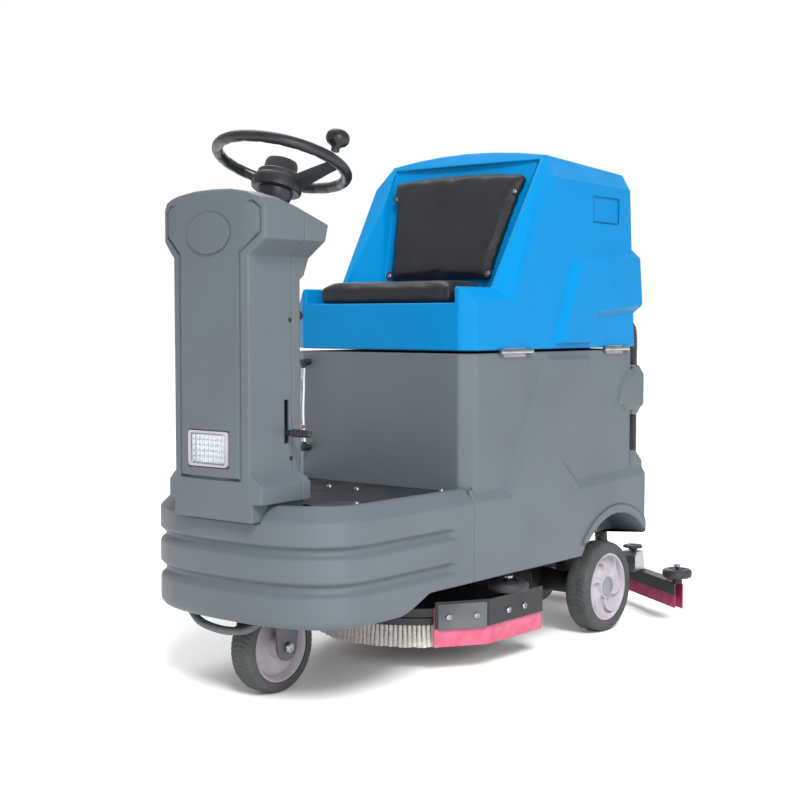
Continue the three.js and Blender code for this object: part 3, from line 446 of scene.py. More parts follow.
# ---------- body ----------
class SCRUBBER_OT_body(Builder):
    """Round the moulded shells and add the deck's mat, bolts and port plug"""

    bl_idname = "scrubber.body"
    bl_label = "Body shells"

    def build(self, scene):
        edge = scene.scrubber_body.edge * 1000
        for name in ("front_deck", "solution_tank"):
            refined(name, "grey", "machine", edge)
        refined("recovery_tank", "blue", "upper_tank", edge)
        refined("tank_lid", "blue", "lid", edge * 0.5)
        refined("deck_mat", "mat", "machine", 0.8)
        ribs = bmesh.new()
        low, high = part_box("deck_mat")
        for i in range(int((high.x - low.x - 0.03) / 0.009)):
            x = 1000 * low.x + 19 + 9 * i
            start = -10 if abs(x) < 144 else 70
            slab(ribs, rectangle(4, 333 - start, 1.5, (0, 0), 2), place(x, (333 + start) / 2, 0), 411.6, 413)
        show("deck_mat_ribs", ribs, "mat", "machine")
        bolts = bmesh.new()
        for side in (1, -1):
            for x, y in ((204, 40), (41, 229), (204, 326)):
                screw(bolts, place(side * x, y, 413), 7, 5)
        show("deck_bolts", bolts, "zinc", "machine")
        plug = bmesh.new()
        turn(plug, [(0, 3), (8, 3), (9, 4), (11, 4), (11.5, 0), (11.5, -1), (0, -1)],
             place(-246, 347, 801, ALONG_MINUS_Y), 32)
        show("arm_port_plug", plug, "nylon", "upper_tank")


# ---------- steering column and dash ----------
class SCRUBBER_OT_column(Builder):
    """Round the column covers and add the badge, headlight, screws, display and switches"""

    bl_idname = "scrubber.column"
    bl_label = "Steering column"

    def build(self, scene):
        edge = scene.scrubber_body.edge * 1000
        for name in ("column_front_cover", "column_rear_cover"):
            refined(name, "grey", "machine", edge * 0.6)
        refined("badge_plate", "grey", "machine", 1.2)
        self.build_headlight()
        screws = bmesh.new()
        for y, z in ((-53, 509), (-55, 790)):
            for turn_to, x in ((ALONG_X, 108), (ALONG_MINUS_X, -108)):
                screw(screws, place(x, y, z, turn_to), 4.5)
        show("column_screws", screws, "coat", "machine")
        refined("dash_panel", "nylon", "machine", 1)
        self.build_dash()

    def build_headlight(self):
        front = place(0, -184, 531, ALONG_MINUS_Y)
        case = bmesh.new()
        outer, inner = rectangle(112, 72, 8), rectangle(102, 62, 6)
        stack(case, front, ((outer, -16), (outer, 0), (inner, 0), (inner, -9), (rectangle(96, 56, 5), -13)))
        rounded(case, 40, 0.8)
        show("headlight_case", case, "hub", "machine", ("headlight",))
        mirror = bmesh.new()
        for i in range(8):
            for k in range(5):
                middle = (-43.75 + 12.5 * i, -22.4 + 11.2 * k)
                cell = rectangle(12.2, 10.9, 0, middle)
                peak = rectangle(5, 4, 0, middle)
                stack(mirror, front, ((cell, -12.9), (cell, -8), (peak, -10.5)))
        show("headlight_reflector", mirror, "chrome", "machine", smooth=10)
        lens = bmesh.new()
        slab(lens, rectangle(101.4, 61.4, 6), front, -3.2, -1.2)
        for i in range(16):
            slab(lens, rectangle(3.2, 58, 1.2, (-48 + 6.4 * i, 0), 2), front, -1.3, -0.4)
        show("headlight_lens", lens, "clear", "machine")

    def build_dash(self):
        bezel = bmesh.new()
        window = shifted(DASH, 0, -20, 0)
        stack(bezel, window, ((rectangle(116, 56, 6), 4.5), (rectangle(114, 54, 6), 8.6),
                              (rectangle(102, 42, 4), 8.6), (rectangle(98, 38, 3), 6.4)))
        show("display_bezel", bezel, "grip", "machine", ("display",))
        glass = bmesh.new()
        slab(glass, rectangle(98, 38, 3), window, 6.5, 7.2)
        show("display_glass", glass, "screen", "machine")
        bars = bmesh.new()
        for i in range(8):
            slab(bars, rectangle(6, 4 + 2.4 * i, 0.6, (-36 + 10 * i, -33 + 1.2 * i), 2), DASH, 7.2, 7.5)
        show("display_bars", bars, "segment", "machine")
        barrel = bmesh.new()
        turn(barrel, [(0, 5.5), (7, 5.5), (8, 6.6), (11, 6.2), (11, 4.5), (0, 4.5)],
             shifted(DASH, -92, -8, 0), 32)
        slab(barrel, rectangle(3, 20, 1, (-92, -8), 3), DASH, 5.4, 16)
        show("key_and_barrel", barrel, "zinc", "key", ("key_switch",))
        horn = bmesh.new()
        turn(horn, [(0, 11), (7, 10.7), (10, 9.2), (11, 7), (11, 4.5), (0, 4.5)],
             shifted(DASH, 92, 34, 0), 32)
        show("horn_cap", horn, "orange", "horn", ("horn_button",))
        rocker = bmesh.new()
        rows = ((-13, 11), (-11, 11), (0, 8.2), (11, 11), (13, 11))
        seat = shifted(DASH, 92, -8, 0)
        loft(rocker, [[inside(seat, x, y, h) for x, h in ((-9, 4.6), (9, 4.6), (9, top), (-9, top))]
                      for y, top in rows])
        rounded(rocker, 40, 0.8)
        show("direction_rocker", rocker, "nylon", "direction", ("direction_switch",))


class SCRUBBER_OT_steering(Builder):
    """Build the steering wheel's grip, spokes, hub and shaft boot, and its knob"""

    bl_idname = "scrubber.steering"
    bl_label = "Steering wheel"

    def build(self, scene):
        rim = bmesh.new()
        rings = []
        for i in range(176):
            angle = 2 * math.pi * i / 176
            wave = max(0.0, math.cos(22 * angle)) ** 2
            ring = []
            for k in range(18):
                around = 2 * math.pi * k / 18
                inward = max(0.0, -math.cos(around)) + 0.5 * max(0.0, -math.sin(around))
                r = 12 - 1.3 * wave * inward
                reach = RIM_RADIUS + r * math.cos(around)
                height = r * math.sin(around)
                ring.append(inside(WHEEL, reach * math.cos(angle), reach * math.sin(angle), height))
            rings.append(ring)
        rows = [[rim.verts.new(p) for p in ring] for ring in rings]
        for i, row in enumerate(rows):
            after = rows[(i + 1) % len(rows)]
            for k in range(18):
                rim.faces.new((row[k], after[k], after[(k + 1) % 18], row[(k + 1) % 18]))
        show("wheel_rim", rim, "grip", "steering_wheel", ("steering_wheel",))
        spokes = bmesh.new()
        for lean in (0.2, math.pi - 0.2):
            arm = WHEEL @ Matrix.Rotation(lean, 4, "Z")
            steps = ((34, 19, -52, -32), (56, 18, -48, -28), (84, 16, -33, -15), (112, 14.5, -17, -3),
                     (134, 13.5, -6, 5.5))
            rings = []
            for x, w, low, high in steps:
                section = ((-w, low), (w, low), (w, high - 2), (w * 0.6, high), (-w * 0.6, high),
                           (-w, high - 2))
                rings.append([inside(arm, x, y, z) for y, z in section])
            loft(spokes, rings)
        rounded(spokes, 40, 1.2)
        show("wheel_spokes", spokes, "nylon", "steering_wheel")
        hub = bmesh.new()
        turn(hub, [(0, -64), (50, -64), (53, -62), (54, -58), (53, -50), (53, -42), (50, -36), (47, -34),
                   (46, -26), (43, -23), (36, -22), (35.4, -20), (35, -4), (32, 3), (24, 6), (0, 6.6)],
             WHEEL, 72)
        show("wheel_hub", hub, "nylon", "steering_wheel")
        shaft = bmesh.new()
        turn(shaft, [(0, -410), (10, -410), (10, -90), (0, -90)], WHEEL, 24)
        turn(shaft, [(0, -93), (28, -93), (30, -91), (31, -84), (34, -80), (37, -66), (38, -62), (0, -62)],
             WHEEL, 48)
        show("wheel_shaft", shaft, "nylon", "steering_wheel")
        knob = bmesh.new()
        x, y = RIM_RADIUS * math.cos(KNOB_ANGLE), RIM_RADIUS * math.sin(KNOB_ANGLE)
        turn(knob, [(0, 0.3), (8.6, 0.3), (9, 3), (8.6, 8), (13, 13), (20, 17), (24.2, 23), (25, 30),
                    (23.6, 37), (19, 42.5), (11, 45.6), (0, 46.3)],
             shifted(WHEEL, x, y, 18), 48)
        show("knob_ball", knob, "grip", "spinner_knob", ("spinner_knob",))


# ---------- seat ----------
class SCRUBBER_OT_seat(Builder):
    """Swell the seat cushion and the backrest, and add the backrest's screws"""

    bl_idname = "scrubber.seat"
    bl_label = "Seat"

    def build(self, scene):
        look = scene.scrubber_seat
        cushion = self.swell("seat_cushion", look, Vector((0, 0, -1)))
        cushion.name = "seat_cushion_cover"
        back = self.swell("backrest_pad", look, Vector((0, 0.94, -0.33)))
        back.name = "backrest_cover"
        self.build_screws()

    def swell(self, name, look, under):
        """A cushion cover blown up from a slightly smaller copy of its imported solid, flat on its back."""
        bm = bmesh.new()
        bm.from_mesh(NODES[name].data)
        bmesh.ops.remove_doubles(bm, verts=bm.verts, dist=1e-5)
        middle = sum((v.co for v in bm.verts), Vector()) / len(bm.verts)
        for v in bm.verts:
            v.co = middle + (v.co - middle) * COVER_SCALE
        mesh = bpy.data.meshes.new(name + "_cover")
        bm.to_mesh(mesh)
        bm.free()
        cover = bpy.data.objects.new(name + "_cover", mesh)
        bpy.context.scene.collection.objects.link(cover)
        remesh = cover.modifiers.new("Even", "REMESH")
        remesh.mode = "VOXEL"
        remesh.voxel_size = look.voxel
        self.settle(cover)
        start = [v.co.copy() for v in cover.data.vertices]
        self.blow_up(cover, look.pressure)
        back_plane = max(under.dot(p) for p in start)
        for v, p in zip(cover.data.vertices, start):
            move = v.co - p
            if move.length > look.swell:
                move *= look.swell / move.length
            v.co = p + move
            over = under.dot(v.co) - back_plane
            if over > 0:
                v.co -= under * over / under.length_squared
        round_off = cover.modifiers.new("Soft", "SMOOTH")
        round_off.factor = 0.6
        round_off.iterations = 5
        finer = cover.modifiers.new("Finer", "SUBSURF")
        finer.levels = finer.render_levels = 1
        self.settle(cover)
        cover.data.shade_smooth()
        cover.data.materials.clear()
        cover.data.materials.append(FINISHES["vinyl"])
        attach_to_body(cover, "upper_tank")
        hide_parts(name)
        return cover

    def blow_up(self, cover, pressure):
        """Stuffs a cover as cloth under pressure, for twenty frames."""
        cloth = cover.modifiers.new("Stuffed", "CLOTH")
        cloth.settings.use_pressure = True
        cloth.settings.uniform_pressure_force = pressure
        cloth.settings.quality = 5
        cloth.settings.mass = 0.3
        cloth.settings.effector_weights.gravity = 0
        cloth.point_cache.frame_start = 1
        cloth.point_cache.frame_end = 20
        for step in range(1, 21):
            bpy.context.scene.frame_set(step)
        self.settle(cover)
        bpy.context.scene.frame_set(1)

    def settle(self, cover):
        """Bakes the modifiers of a cover into its mesh."""
        bpy.context.view_layer.update()
        graph = bpy.context.evaluated_depsgraph_get()
        baked = bpy.data.meshes.new_from_object(cover.evaluated_get(graph))
        cover.modifiers.clear()
        cover.data = baked

    def build_screws(self):
        face = place(0, 569, 880, Matrix.Rotation(-BACKREST_SLOPE, 4, "X") @ ALONG_MINUS_Y)
        screws, cups = bmesh.new(), bmesh.new()
        for x, z in ((-179, 226), (179, 226), (-150, 20), (150, 20)):
            middle = shifted(face, x, z, 1.5)
            turn(cups, [(0, 0.4), (7.5, 0.4), (9, 2.4), (10.5, 1.6), (11, -0.5), (0, -0.5)], middle, 28)
            screw(screws, middle, 5.5, 2.6)
        show("backrest_screws", screws, "zinc", "upper_tank")
        show("backrest_cups", cups, "nylon", "upper_tank")


# ---------- wheels ----------
class SCRUBBER_OT_wheels(Builder):
    """Build the treaded tyres, dished hubs, spokes, caps and axle bolts"""

    bl_idname = "scrubber.wheels"
    bl_label = "Wheels"

    def build(self, scene):
        look = scene.scrubber_wheels
        self.tyre("front_tyre", "front_wheel", look, 78.05)
        centre = place(0, 0, 100, ALONG_X)
        hub = bmesh.new()
        turn(hub, [(10.5, -33), (23, -33), (24, -31), (26, -13), (40, -10.5), (64, -9.5), (70, -22),
                   (74, -25.5), (77.6, -25.5), (77.6, 25.5), (74, 25.5), (70, 22), (64, 9.5), (40, 10.5),
                   (26, 13), (24, 31), (23, 33), (10.5, 33), (10.5, -33)], centre, 72)
        show("front_hub_dish", hub, "hub", "front_wheel", ("front_hub",))
        axle = bmesh.new()
        turn(axle, [(0, -46.4), (8, -46.4), (8, 46.4), (0, 46.4)], centre, 24)
        for outward in (ALONG_X, ALONG_MINUS_X):
            end = place(0, 0, 100, outward)
            turn(axle, [(0, 52), (4, 52), (4.6, 56), (7, 56), (8, 55), (8, 46.4), (0, 46.4)], end, 24)
            turn(axle, [(0, 46.4), (11.8, 46.4), (11.8, 53), (10.5, 54), (0, 54)], end, 6)
        show("front_axle_bolt", axle, "zinc", "fork", ("front_axle",))
        refined("front_fork", "plate", "fork", 1.2)
        for side, name in ((1, "left"), (-1, "right")):
            self.rear_wheel(side, name, look)

    def tyre(self, name, body, look, bore):
        """A tyre of blocks cut by slanting grooves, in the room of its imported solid."""
        low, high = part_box(name)
        middle = (low + high) / 2
        radius = 1000 * (high.z - low.z) / 2
        half = 1000 * (high.x - low.x) / 2
        where = Matrix.Translation(middle) @ ALONG_X
        crown = [(bore, -half), (radius - 9, -half), (radius - 3, 3 - half), (radius - 0.6, 8 - half)]
        across = [(radius - 0.2, h * (half - 9)) for h in (-0.85, -0.6, -0.3, -0.06, 0.06, 0.3, 0.6, 0.85)]
        profile = [*crown, *across, *[(r, -h) for r, h in crown[::-1]], (bore, -half)]
        groove_depth = 2.2

        def tread(angle, r, h):
            if r < radius - 4:
                return 0
            slant = angle * look.blocks - abs(h) * 0.16
            cut_here = max(0.0, math.cos(slant)) ** 6
            rib = 1.0 if abs(h) < 2 else 0.0
            return -groove_depth * max(cut_here if abs(h) > 4 else 0.0, rib * 0.6)

        bm = bmesh.new()
        turn(bm, profile, where, look.blocks * 6, tread)
        show(name + "_tread", bm, "tyre", body, (name,), smooth=50)

    def rear_wheel(self, side, name, look):
        body = "rear_wheel_" + name
        self.tyre("rear_tyre_" + name, body, look, 86.05)
        low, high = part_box("rear_hub_" + name)
        outward = ALONG_X if side > 0 else ALONG_MINUS_X
        hub_place = Matrix.Translation((low + high) / 2) @ outward
        half = 1000 * (high.x - low.x) / 2
        hub = bmesh.new()
        turn(hub, [(12.4, -half), (85.6, -half), (85.6, half - 0.4), (83.5, half), (79.5, half),
                   (78, half - 2), (76, half - 13), (70, half - 15.5), (34, half - 14), (31, half - 12),
                   (29.5, half - 3), (28, half - 2), (12.4, half - 2), (12.4, -half)], hub_place, 72)
        for i in range(look.spokes):
            spoke = hub_place @ Matrix.Rotation(2 * math.pi * i / look.spokes, 4, "Z")
            rings = []
            for k in range(9):
                t = k / 8
                reach = 30 + 47 * t
                bend = 0.5 * t * t
                width = (10 - 4 * t) / reach
                ring = []
                for lean, h in ((-width, half - 15.6), (width, half - 15.6), (width * 0.6, half - 6 + 2 * t),
                                (-width * 0.6, half - 6 + 2 * t)):
                    angle = bend + lean
                    ring.append(inside(spoke, reach * math.cos(angle), reach * math.sin(angle), h))
                rings.append(ring)
            loft(hub, rings)
        show(f"rear_hub_{name}_dish", hub, "hub", body, ("rear_hub_" + name,))
        cap = bmesh.new()
        turn(cap, [(0, half + 4.5), (10, half + 4), (20, half + 2), (25, half - 1), (26, half - 4),
                   (0, half - 4)], hub_place, 48)
        show(f"rear_cap_{name}", cap, "cap", body)


# ---------- chassis and drive ----------
class SCRUBBER_OT_chassis(Builder):
    """Finish the frame, drive, batteries, steering shaft and vacuum motor"""

    bl_idname = "scrubber.chassis"
    bl_label = "Chassis and drive"

    def build(self, scene):
        for name, material, body, width in (
            ("chassis_frame", "coat", "machine", 2), ("transaxle", "coat", "machine", 1.5),
            ("battery_left", "nylon", "machine", 4), ("battery_right", "nylon", "machine", 4),
            ("lower_steering_shaft", "zinc", "lower_shaft", 0.6), ("vacuum_motor", "nylon", "upper_tank", 2),
        ):
            refined(name, material, body, width)
        motor = bmesh.new()
        spot = place(30, 0, 119.5, ALONG_Y)
        profile = [(0, 745), (44, 745), (50, 749), (52, 756)]
        for i in range(9):
            start = 764 + 12 * i
            profile += [(52, start), (49, start + 2), (49, start + 6), (52, start + 8)]
        profile += [(52, 894), (0, 894)]
        turn(motor, profile, spot, 48)
        show("drive_motor_case", motor, "coat", "machine", ("drive_motor",))


# ---------- brush deck ----------
class SCRUBBER_OT_brush(Builder):
    """Build the tufted brush, its motor and cover, the skirts and the guide rollers"""

    bl_idname = "scrubber.brush"
    bl_label = "Brush deck"

    def build(self, scene):
        look = scene.scrubber_brush
        centre = place(0, BRUSH_Y, 0)
        plate = bmesh.new()
        turn(plate, [(0, 106), (70, 106), (150, 100), (222, 106), (223, 108), (222, 122), (220, 124),
                     (0, 124)], centre, 72)
        show("brush_plate", plate, "nylon", "brush", ("scrub_brush",))
        rng = random.Random(7)
        pale, green = bmesh.new(), bmesh.new()
        for row in range(look.rows):
            ring = 152 + 66 * row / max(1, look.rows - 1)
            count = round(2 * math.pi * ring / (1000 * look.pitch))
            for i in range(count):
                angle = 2 * math.pi * (i + 0.5 * (row % 2)) / count
                out = (math.cos(angle), math.sin(angle))
                lean = (ring - 186) * 0.16 + rng.uniform(-2, 2)
                tip_r = 6.6 + rng.uniform(-0.6, 0.8)
                tip_z = 57.3 + rng.uniform(0, 2.2)
                rings = []
                for r, spread, z in ((4.8, 0, 107), (5.2, 0.5, 82), (tip_r, 1, tip_z)):
                    x = (ring + lean * spread) * out[0]
                    y = BRUSH_Y + (ring + lean * spread) * out[1]
                    rings.append([at(x + r * math.cos(math.pi * k / 3), y + r * math.sin(math.pi * k / 3), z)
                                  for k in range(6)])
                loft(green if (i * 9) // count == 2 and i % 5 == 0 else pale, rings)
        show("brush_tufts_pale", pale, "bristle", "brush", smooth=70)
        show("brush_tufts_green", green, "green", "brush", smooth=70)
        refined("brush_deck_cover", "coat", "brush_deck", 1.5)
        refined("brush_lift_actuator", "coat", "machine", 1.5)
        motor = bmesh.new()
        turn(motor, [(0, 148.4), (62, 148.4), (62, 158), (58, 160), (58, 200), (60, 202), (60, 290),
                     (56, 302), (40, 310), (20, 316), (0, 318)], centre, 56)
        show("brush_motor_case", motor, "coat", "brush_deck", ("brush_motor",))
        for side, name in ((1, "left"), (-1, "right")):
            refined("skirt_plate_" + name, "coat", "brush_deck", 0.8)
            refined("skirt_rubber_" + name, "skirt", "brush_deck", 0.8)
            front = place(side * 225.5, 376, 129, facing(side * 108, -71))
            guard = bmesh.new()
            slab(guard, rectangle(116, 58, 4), front, 0, 1.4)
            show(f"skirt_guard_{name}", guard, "plate", "brush_deck")
            bolts = bmesh.new()
            for x in (-33, 33):
                screw(bolts, shifted(front, x, 0, 1.4), 7.5, 4)
            for y in (502, 564):
                x = side * (261 + 4 * (y - 430) / 210)
                screw(bolts, place(x, y, 128, facing(side * 204, -4)), 7.5, 4)
            show(f"skirt_bolts_{name}", bolts, "zinc", "brush_deck")
            roller = bmesh.new()
            turn(roller, [(6.6, 1), (38, 1), (43, 2.5), (46, 5), (47, 9), (47, 15), (46, 19), (43, 22.5),
                          (38, 24), (24, 24), (22, 21.5), (14, 21.5), (12, 24), (6.6, 24), (6.6, 1)],
                 place(side * 250, 520, 167), 56)
            show(f"guide_roller_{name}_wheel", roller, "nylon", "roller_" + name, ("guide_roller_" + name,))
            cap = bmesh.new()
            turn(cap, [(0, 198.2), (11, 198.2), (11, 203), (9.6, 204.6), (0, 204.6)],
                 place(side * 250, 520, 0), 6)
            show(f"roller_bolt_{name}", cap, "zinc", "brush_deck")


# ---------- squeegee ----------
class SCRUBBER_OT_squeegee(Builder):
    """Build the squeegee's beam, blades, brackets, star knobs, tip wheels, arm and lever"""

    bl_idname = "scrubber.squeegee"
    bl_label = "Squeegee"

    def build(self, scene):
        refined("squeegee_beam", "coat", "squeegee", 1)
        refined("front_blade", "gum", "squeegee", 0.4)
        refined("rear_blade", "gum", "squeegee", 0.4)
        refined("squeegee_carrier", "zinc", "squeegee", 1)
        refined("squeegee_arm", "zinc", "squeegee_arm", 1)
        for side, name in ((1, "left"), (-1, "right")):
            wheel = bmesh.new()
            turn(wheel, [(5.6, 1), (24, 1), (32, 0.6), (36.5, 3), (38, 7), (38, 16), (36.5, 20), (33, 22.6),
                         (22, 23), (20, 20.5), (13, 20.5), (11, 23), (5.6, 23), (5.6, 1)],
                 place(side * 350, 1142, 121), 48)
            show(f"tip_wheel_{name}_roller", wheel, "nylon", "tip_wheel_" + name, ("squeegee_wheel_" + name,))
            cap = bmesh.new()
            turn(cap, [(0, 150.2), (9.6, 150.2), (9.6, 155), (8.4, 156.2), (0, 156.2)],
                 place(side * 350, 1142, 0), 6)
            show(f"tip_wheel_bolt_{name}", cap, "zinc", "squeegee")
            knob = bmesh.new()
            turn(knob, [(0, 180), (7, 180), (8, 178.5), (20, 178.5), (24, 177), (25.5, 174), (25, 171),
                        (20, 169.4), (12, 168), (11.5, 164), (0, 164)], place(side * 168, 1232, 0), 60,
                 lambda angle, r, h: 2.6 * math.cos(5 * angle) if r > 18 else 0)
            turn(knob, [(0, 134), (5.4, 134), (5.4, 165), (0, 165)], place(side * 168, 1232, 0), 20)
            show(f"star_knob_{name}", knob, "nylon", "knob_" + name, ("squeegee_knob_" + name,))
            tip = bmesh.new()
            heading = Matrix.Rotation(-side * math.atan2(198, 352), 4, "Z")
            end = place(side * 338, 1156, 0, heading)
            slab(tip, rectangle(22, 34, 3), end, 108.2, 111)
            rounded(tip, 40, 0.6)
            show(f"beam_end_plate_{name}", tip, "zinc", "squeegee")
            clip = bmesh.new()
            slab(clip, rectangle(12, 20, 2, (-side * 22, 0)), end, 108.2, 118)
            rounded(clip, 40, 1)
            show(f"blade_clip_{name}", clip, "orange", "squeegee")
        lever = bmesh.new()
        spot = place(118, -64, 562, ALONG_X)
        profile = [(0, -0.2), (6, 0)]
        for i in range(5):
            profile += [(8.6, 8 + 8 * i), (7.4, 12 + 8 * i)]
        turn(lever, [*profile, (8, 50), (6.4, 54.5), (3, 56), (0, 56)], spot, 28)
        turn(lever, [(0, -48), (5, -48), (5, 2), (0, 2)], spot, 20)
        slab(lever, rectangle(24, 24, 3, (72, -64 - AXLE_TO_MIDDLE)), Matrix.Identity(4), 548, 576)
        show("lift_lever_grip", lever, "nylon", "lever", ("lift_lever",))


# ---------- fittings, hoses and pedal ----------
class SCRUBBER_OT_fittings(Builder):
    """Add the hoses, wiring, sight tube, seam hinges, drive pedal and its foot"""

    bl_idname = "scrubber.fittings"
    bl_label = "Hoses and fittings"

    def build(self, scene):
        suction = bmesh.new()
        hose(suction, [(0, 1344, 159), (0, 1344, 205), (40, 1310, 290), (90, 1225, 400), (110, 1160, 530),
                       (90, 1122, 660), (66, 1110, 780), (60, 1106, 880), (60, 1102, 965), (60, 1088, 1020),
                       (60, 1071, 1034)], 19, 7, 2.2, 20)
        show("suction_hose_wall", suction, "nylon", "upper_tank", ("suction_hose",), 60)
        drain = bmesh.new()
        hose(drain, [(225, 1078.5, 780), (226, 1096, 774), (227, 1109, 745), (226, 1111, 620),
                     (222, 1118, 480), (220, 1122, 380), (219, 1118, 300), (219, 1116, 262)], 16, 6, 1.8, 20)
        show("drain_hose_wall", drain, "nylon", "upper_tank", ("drain_hose",), 60)
        wiring = bmesh.new()
        hose(wiring, [(-168, -94, 236), (-150, -101, 190), (-110, -113, 160), (-60, -122, 151),
                      (0, -124, 150), (50, -118, 160), (78, -106, 188), (88, -100, 236)], 9, 4.5, 1.3, 14)
        show("wiring_conduit_wall", wiring, "plate", "machine", ("wiring_conduit",), 60)
        self.build_sight_tube()
        self.build_hinges()
        self.build_pedal()

    def build_sight_tube(self):
        x, y = -212, 327
        tube = bmesh.new()
        hose(tube, [(x, y, 686), (x - 1, y - 2, 630), (x - 4, y - 1, 560), (x, y, 490)], 5, sides=16)
        show("sight_tube_wall", tube, "clear", "machine", ("sight_tube",), 60)
        elbows = bmesh.new()
        for z, up in ((690, -1), (485, 1)):
            turn(elbows, [(0, -8), (7, -8), (8, -6), (8, 6), (9.5, 7), (9.5, 11), (8, 12), (8, 19.5),
                          (0, 19.5)], place(x, y, z, ALONG_Y), 6)
            turn(elbows, [(0, 0), (7, 0), (7, 9), (5.6, 10), (6.4, 14), (0, 14)],
                 place(x, y, z, Matrix.Scale(up, 4, Vector((0, 0, 1)))), 20)
        show("sight_tube_elbows", elbows, "nylon", "machine")
        ball = bmesh.new()
        turn(ball, [(0, 530), (2.6, 530.6), (3.6, 533), (3.6, 537), (2.6, 539.4), (0, 540)],
             place(x - 3, y - 1, 0), 20)
        show("sight_tube_float", ball, "red", "machine")

    def build_hinges(self):
        for name in ("tank_hinge_front", "tank_hinge_rear"):
            low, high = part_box(name)
            barrel = bmesh.new()
            start = 1000 * low.y + AXLE_TO_MIDDLE
            length = 1000 * (high.y - low.y)
            profile = [(0, 0)]
            for i in range(5):
                a, b = length * i / 5, length * (i + 1) / 5
                profile += [(5, a), (5.4, a + 0.6), (5.4, b - 0.6), (5, b)]
            turn(barrel, [*profile, (0, length)], place(273.5, start, 718.5, ALONG_Y), 24)
            show(name + "_barrel", barrel, "zinc", "machine", (name,))
            leaves = (("lower", "machine", 706, 715.4), ("upper", "upper_tank", 722.6, 727))
            for level, body, bottom, top in leaves:
                leaf = bmesh.new()
                leaf_place = place(0, start + length / 2, (bottom + top) / 2, ALONG_X)
                slab(leaf, rectangle(top - bottom, length - 40, 2), leaf_place, 267, 268.6)
                show(f"{name}_{level}_leaf", leaf, "zinc", body)

    def build_pedal(self):
        plate = bmesh.new()
        side = [(120, 0.4), (122, 8), (60, 31.6), (2, 54), (-6, 48), (-2, 36), (60, 22)]
        rings = [[at(-176 + x, 40 + y, 414 + z) for y, z in side] for x in (-30, 30)]
        loft(plate, rings)
        rounded(plate, 25, 1.5)
        slope = math.atan2(54 - 8, 2 - 122)
        for i in range(9):
            t = (i + 0.8) / 9.6
            spot = place(-176, 40 + 122 - 120 * t, 414 + 8 + 46 * t, Matrix.Rotation(slope + math.pi, 4, "X"))
            slab(plate, rectangle(50, 4, 1.8), spot, -0.5, 1.4)
        show("drive_pedal_plate", plate, "nylon", "pedal", ("accelerator_pedal",))
        foot = bmesh.new()
        slab(foot, rectangle(74, 30, 4), place(-176, 168, 0), 412.4, 415.5)
        rounded(foot, 40, 0.8)
        screw(foot, place(-202, 168, 415.5), 4.5)
        screw(foot, place(-150, 168, 415.5), 4.5)
        show("drive_pedal_foot", foot, "coat", "machine")


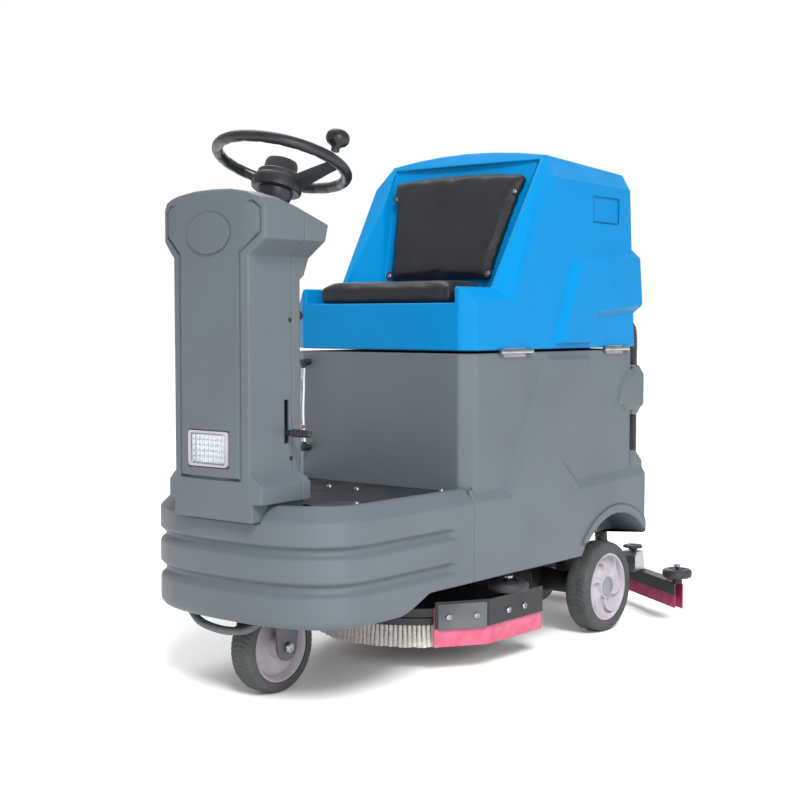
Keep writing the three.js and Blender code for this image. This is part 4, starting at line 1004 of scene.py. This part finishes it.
# ---------- studio ----------
class SCRUBBER_OT_studio(bpy.types.Operator):
    """Lay the floor, light it softly and set the camera"""

    bl_idname = "scrubber.studio"
    bl_label = "Studio"

    def execute(self, context):
        look = context.scene.scrubber_studio
        mesh = bpy.data.meshes.new("studio_floor")
        bm = bmesh.new()
        bmesh.ops.create_grid(bm, x_segments=1, y_segments=1, size=FLOOR_HALF_M)
        bm.to_mesh(mesh)
        bm.free()
        floor = bpy.data.objects.new("studio_floor", mesh)
        floor.location.z = -0.0005
        # Matt painted floor, even in colour.
        colour = hex_of(look.floor)
        mesh.materials.append(finish("pale_floor_paint", (colour, colour), 400, 3, 0.02, (0.7, 0.8)))
        context.scene.collection.objects.link(floor)
        # The sun gives the shape; the panel in front brightens the chamfers that face it.
        for name, kind, spot, width, power in (
            ("key_light", "SUN", (2.6, -1.9, 3.9), 0.35, look.key),
            ("front_panel", "AREA", (2.6, -2.1, 1.4), 1.8, 50),
            ("top_light", "AREA", (-1.2, 0.2, 4.2), 2.6, 60),
            ("back_light", "AREA", (-2.6, 3.2, 2.8), 2.4, 40),
        ):
            lamp = bpy.data.lights.new(name, kind)
            setattr(lamp, "angle" if kind == "SUN" else "size", width)
            lamp.energy = power
            light = bpy.data.objects.new(name, lamp)
            light.location = spot
            light.visible_glossy = kind == "AREA"
            light.rotation_euler = (Vector((0, 0, 0.6)) - Vector(spot)).to_track_quat("-Z", "Y").to_euler()
            context.scene.collection.objects.link(light)
        world = bpy.data.worlds.new("studio_sky")
        world.use_nodes = True
        tree = world.node_tree
        tree.nodes.clear()
        # White behind the machine, softer all round, so that the lamps shape it.
        heading = node(tree, "ShaderNodeTexCoord").outputs["Generated"]
        behind = {"operation": "DOT_PRODUCT", 1: (-0.632, 0.775, 0)}
        towards = node(tree, "ShaderNodeVectorMath", behind, {0: heading})
        bright = node(tree, "ShaderNodeMapRange", {1: 0.55, 2: 0.85, 3: 0.5 * look.sky, 4: look.sky},
                      {0: towards.outputs["Value"]})
        light = node(tree, "ShaderNodeBackground", {"Color": (1, 1, 1, 1)}, {"Strength": bright.outputs[0]})
        node(tree, "ShaderNodeOutputWorld", None, {"Surface": light.outputs[0]})
        context.scene.world = world
        context.scene.view_settings.view_transform = "Standard"
        lens = bpy.data.cameras.new("camera")
        lens.lens = 63.25
        lens.sensor_width = 36
        camera = bpy.data.objects.new("camera", lens)
        camera.location = (2.0843, -2.7160, 0.7896)
        camera.rotation_euler = (math.radians(90 - 3.25), 0, math.radians(39.22))
        context.scene.collection.objects.link(camera)
        context.scene.camera = camera
        return {"FINISHED"}


class SCRUBBER_PT_panel(bpy.types.Panel):
    """Lists the steps that build the machine's looks"""

    bl_label = "Scrubber-Dryer"
    bl_idname = "SCRUBBER_PT_panel"
    bl_space_type = "VIEW_3D"
    bl_region_type = "UI"
    bl_category = "Scrubber"

    def draw(self, context):
        for owner in SETTINGS:
            group = getattr(context.scene, owner)
            for prop in group.bl_rna.properties:
                if prop.identifier not in ("rna_type", "name"):
                    self.layout.prop(group, prop.identifier)
        for operator in OPERATORS:
            self.layout.operator(operator.bl_idname)


SETTINGS = {
    "scrubber_body": ScrubberBody,
    "scrubber_seat": ScrubberSeat,
    "scrubber_wheels": ScrubberWheels,
    "scrubber_brush": ScrubberBrush,
    "scrubber_studio": ScrubberStudio,
}
OPERATORS = (
    SCRUBBER_OT_studio, SCRUBBER_OT_body, SCRUBBER_OT_column, SCRUBBER_OT_steering, SCRUBBER_OT_seat,
    SCRUBBER_OT_wheels, SCRUBBER_OT_chassis, SCRUBBER_OT_brush, SCRUBBER_OT_squeegee, SCRUBBER_OT_fittings,
)


def register():
    for owner, group in SETTINGS.items():
        bpy.utils.register_class(group)
        setattr(bpy.types.Scene, owner, bpy.props.PointerProperty(type=group))
    for operator in OPERATORS:
        bpy.utils.register_class(operator)
    bpy.utils.register_class(SCRUBBER_PT_panel)


def unregister():
    bpy.utils.unregister_class(SCRUBBER_PT_panel)
    for operator in reversed(OPERATORS):
        bpy.utils.unregister_class(operator)
    for owner, group in SETTINGS.items():
        delattr(bpy.types.Scene, owner)
        bpy.utils.unregister_class(group)


def main():
    register()
    for operator in OPERATORS:
        family, name = operator.bl_idname.split(".")
        getattr(getattr(bpy.ops, family), name)()


if __name__ == "__main__":
    main()
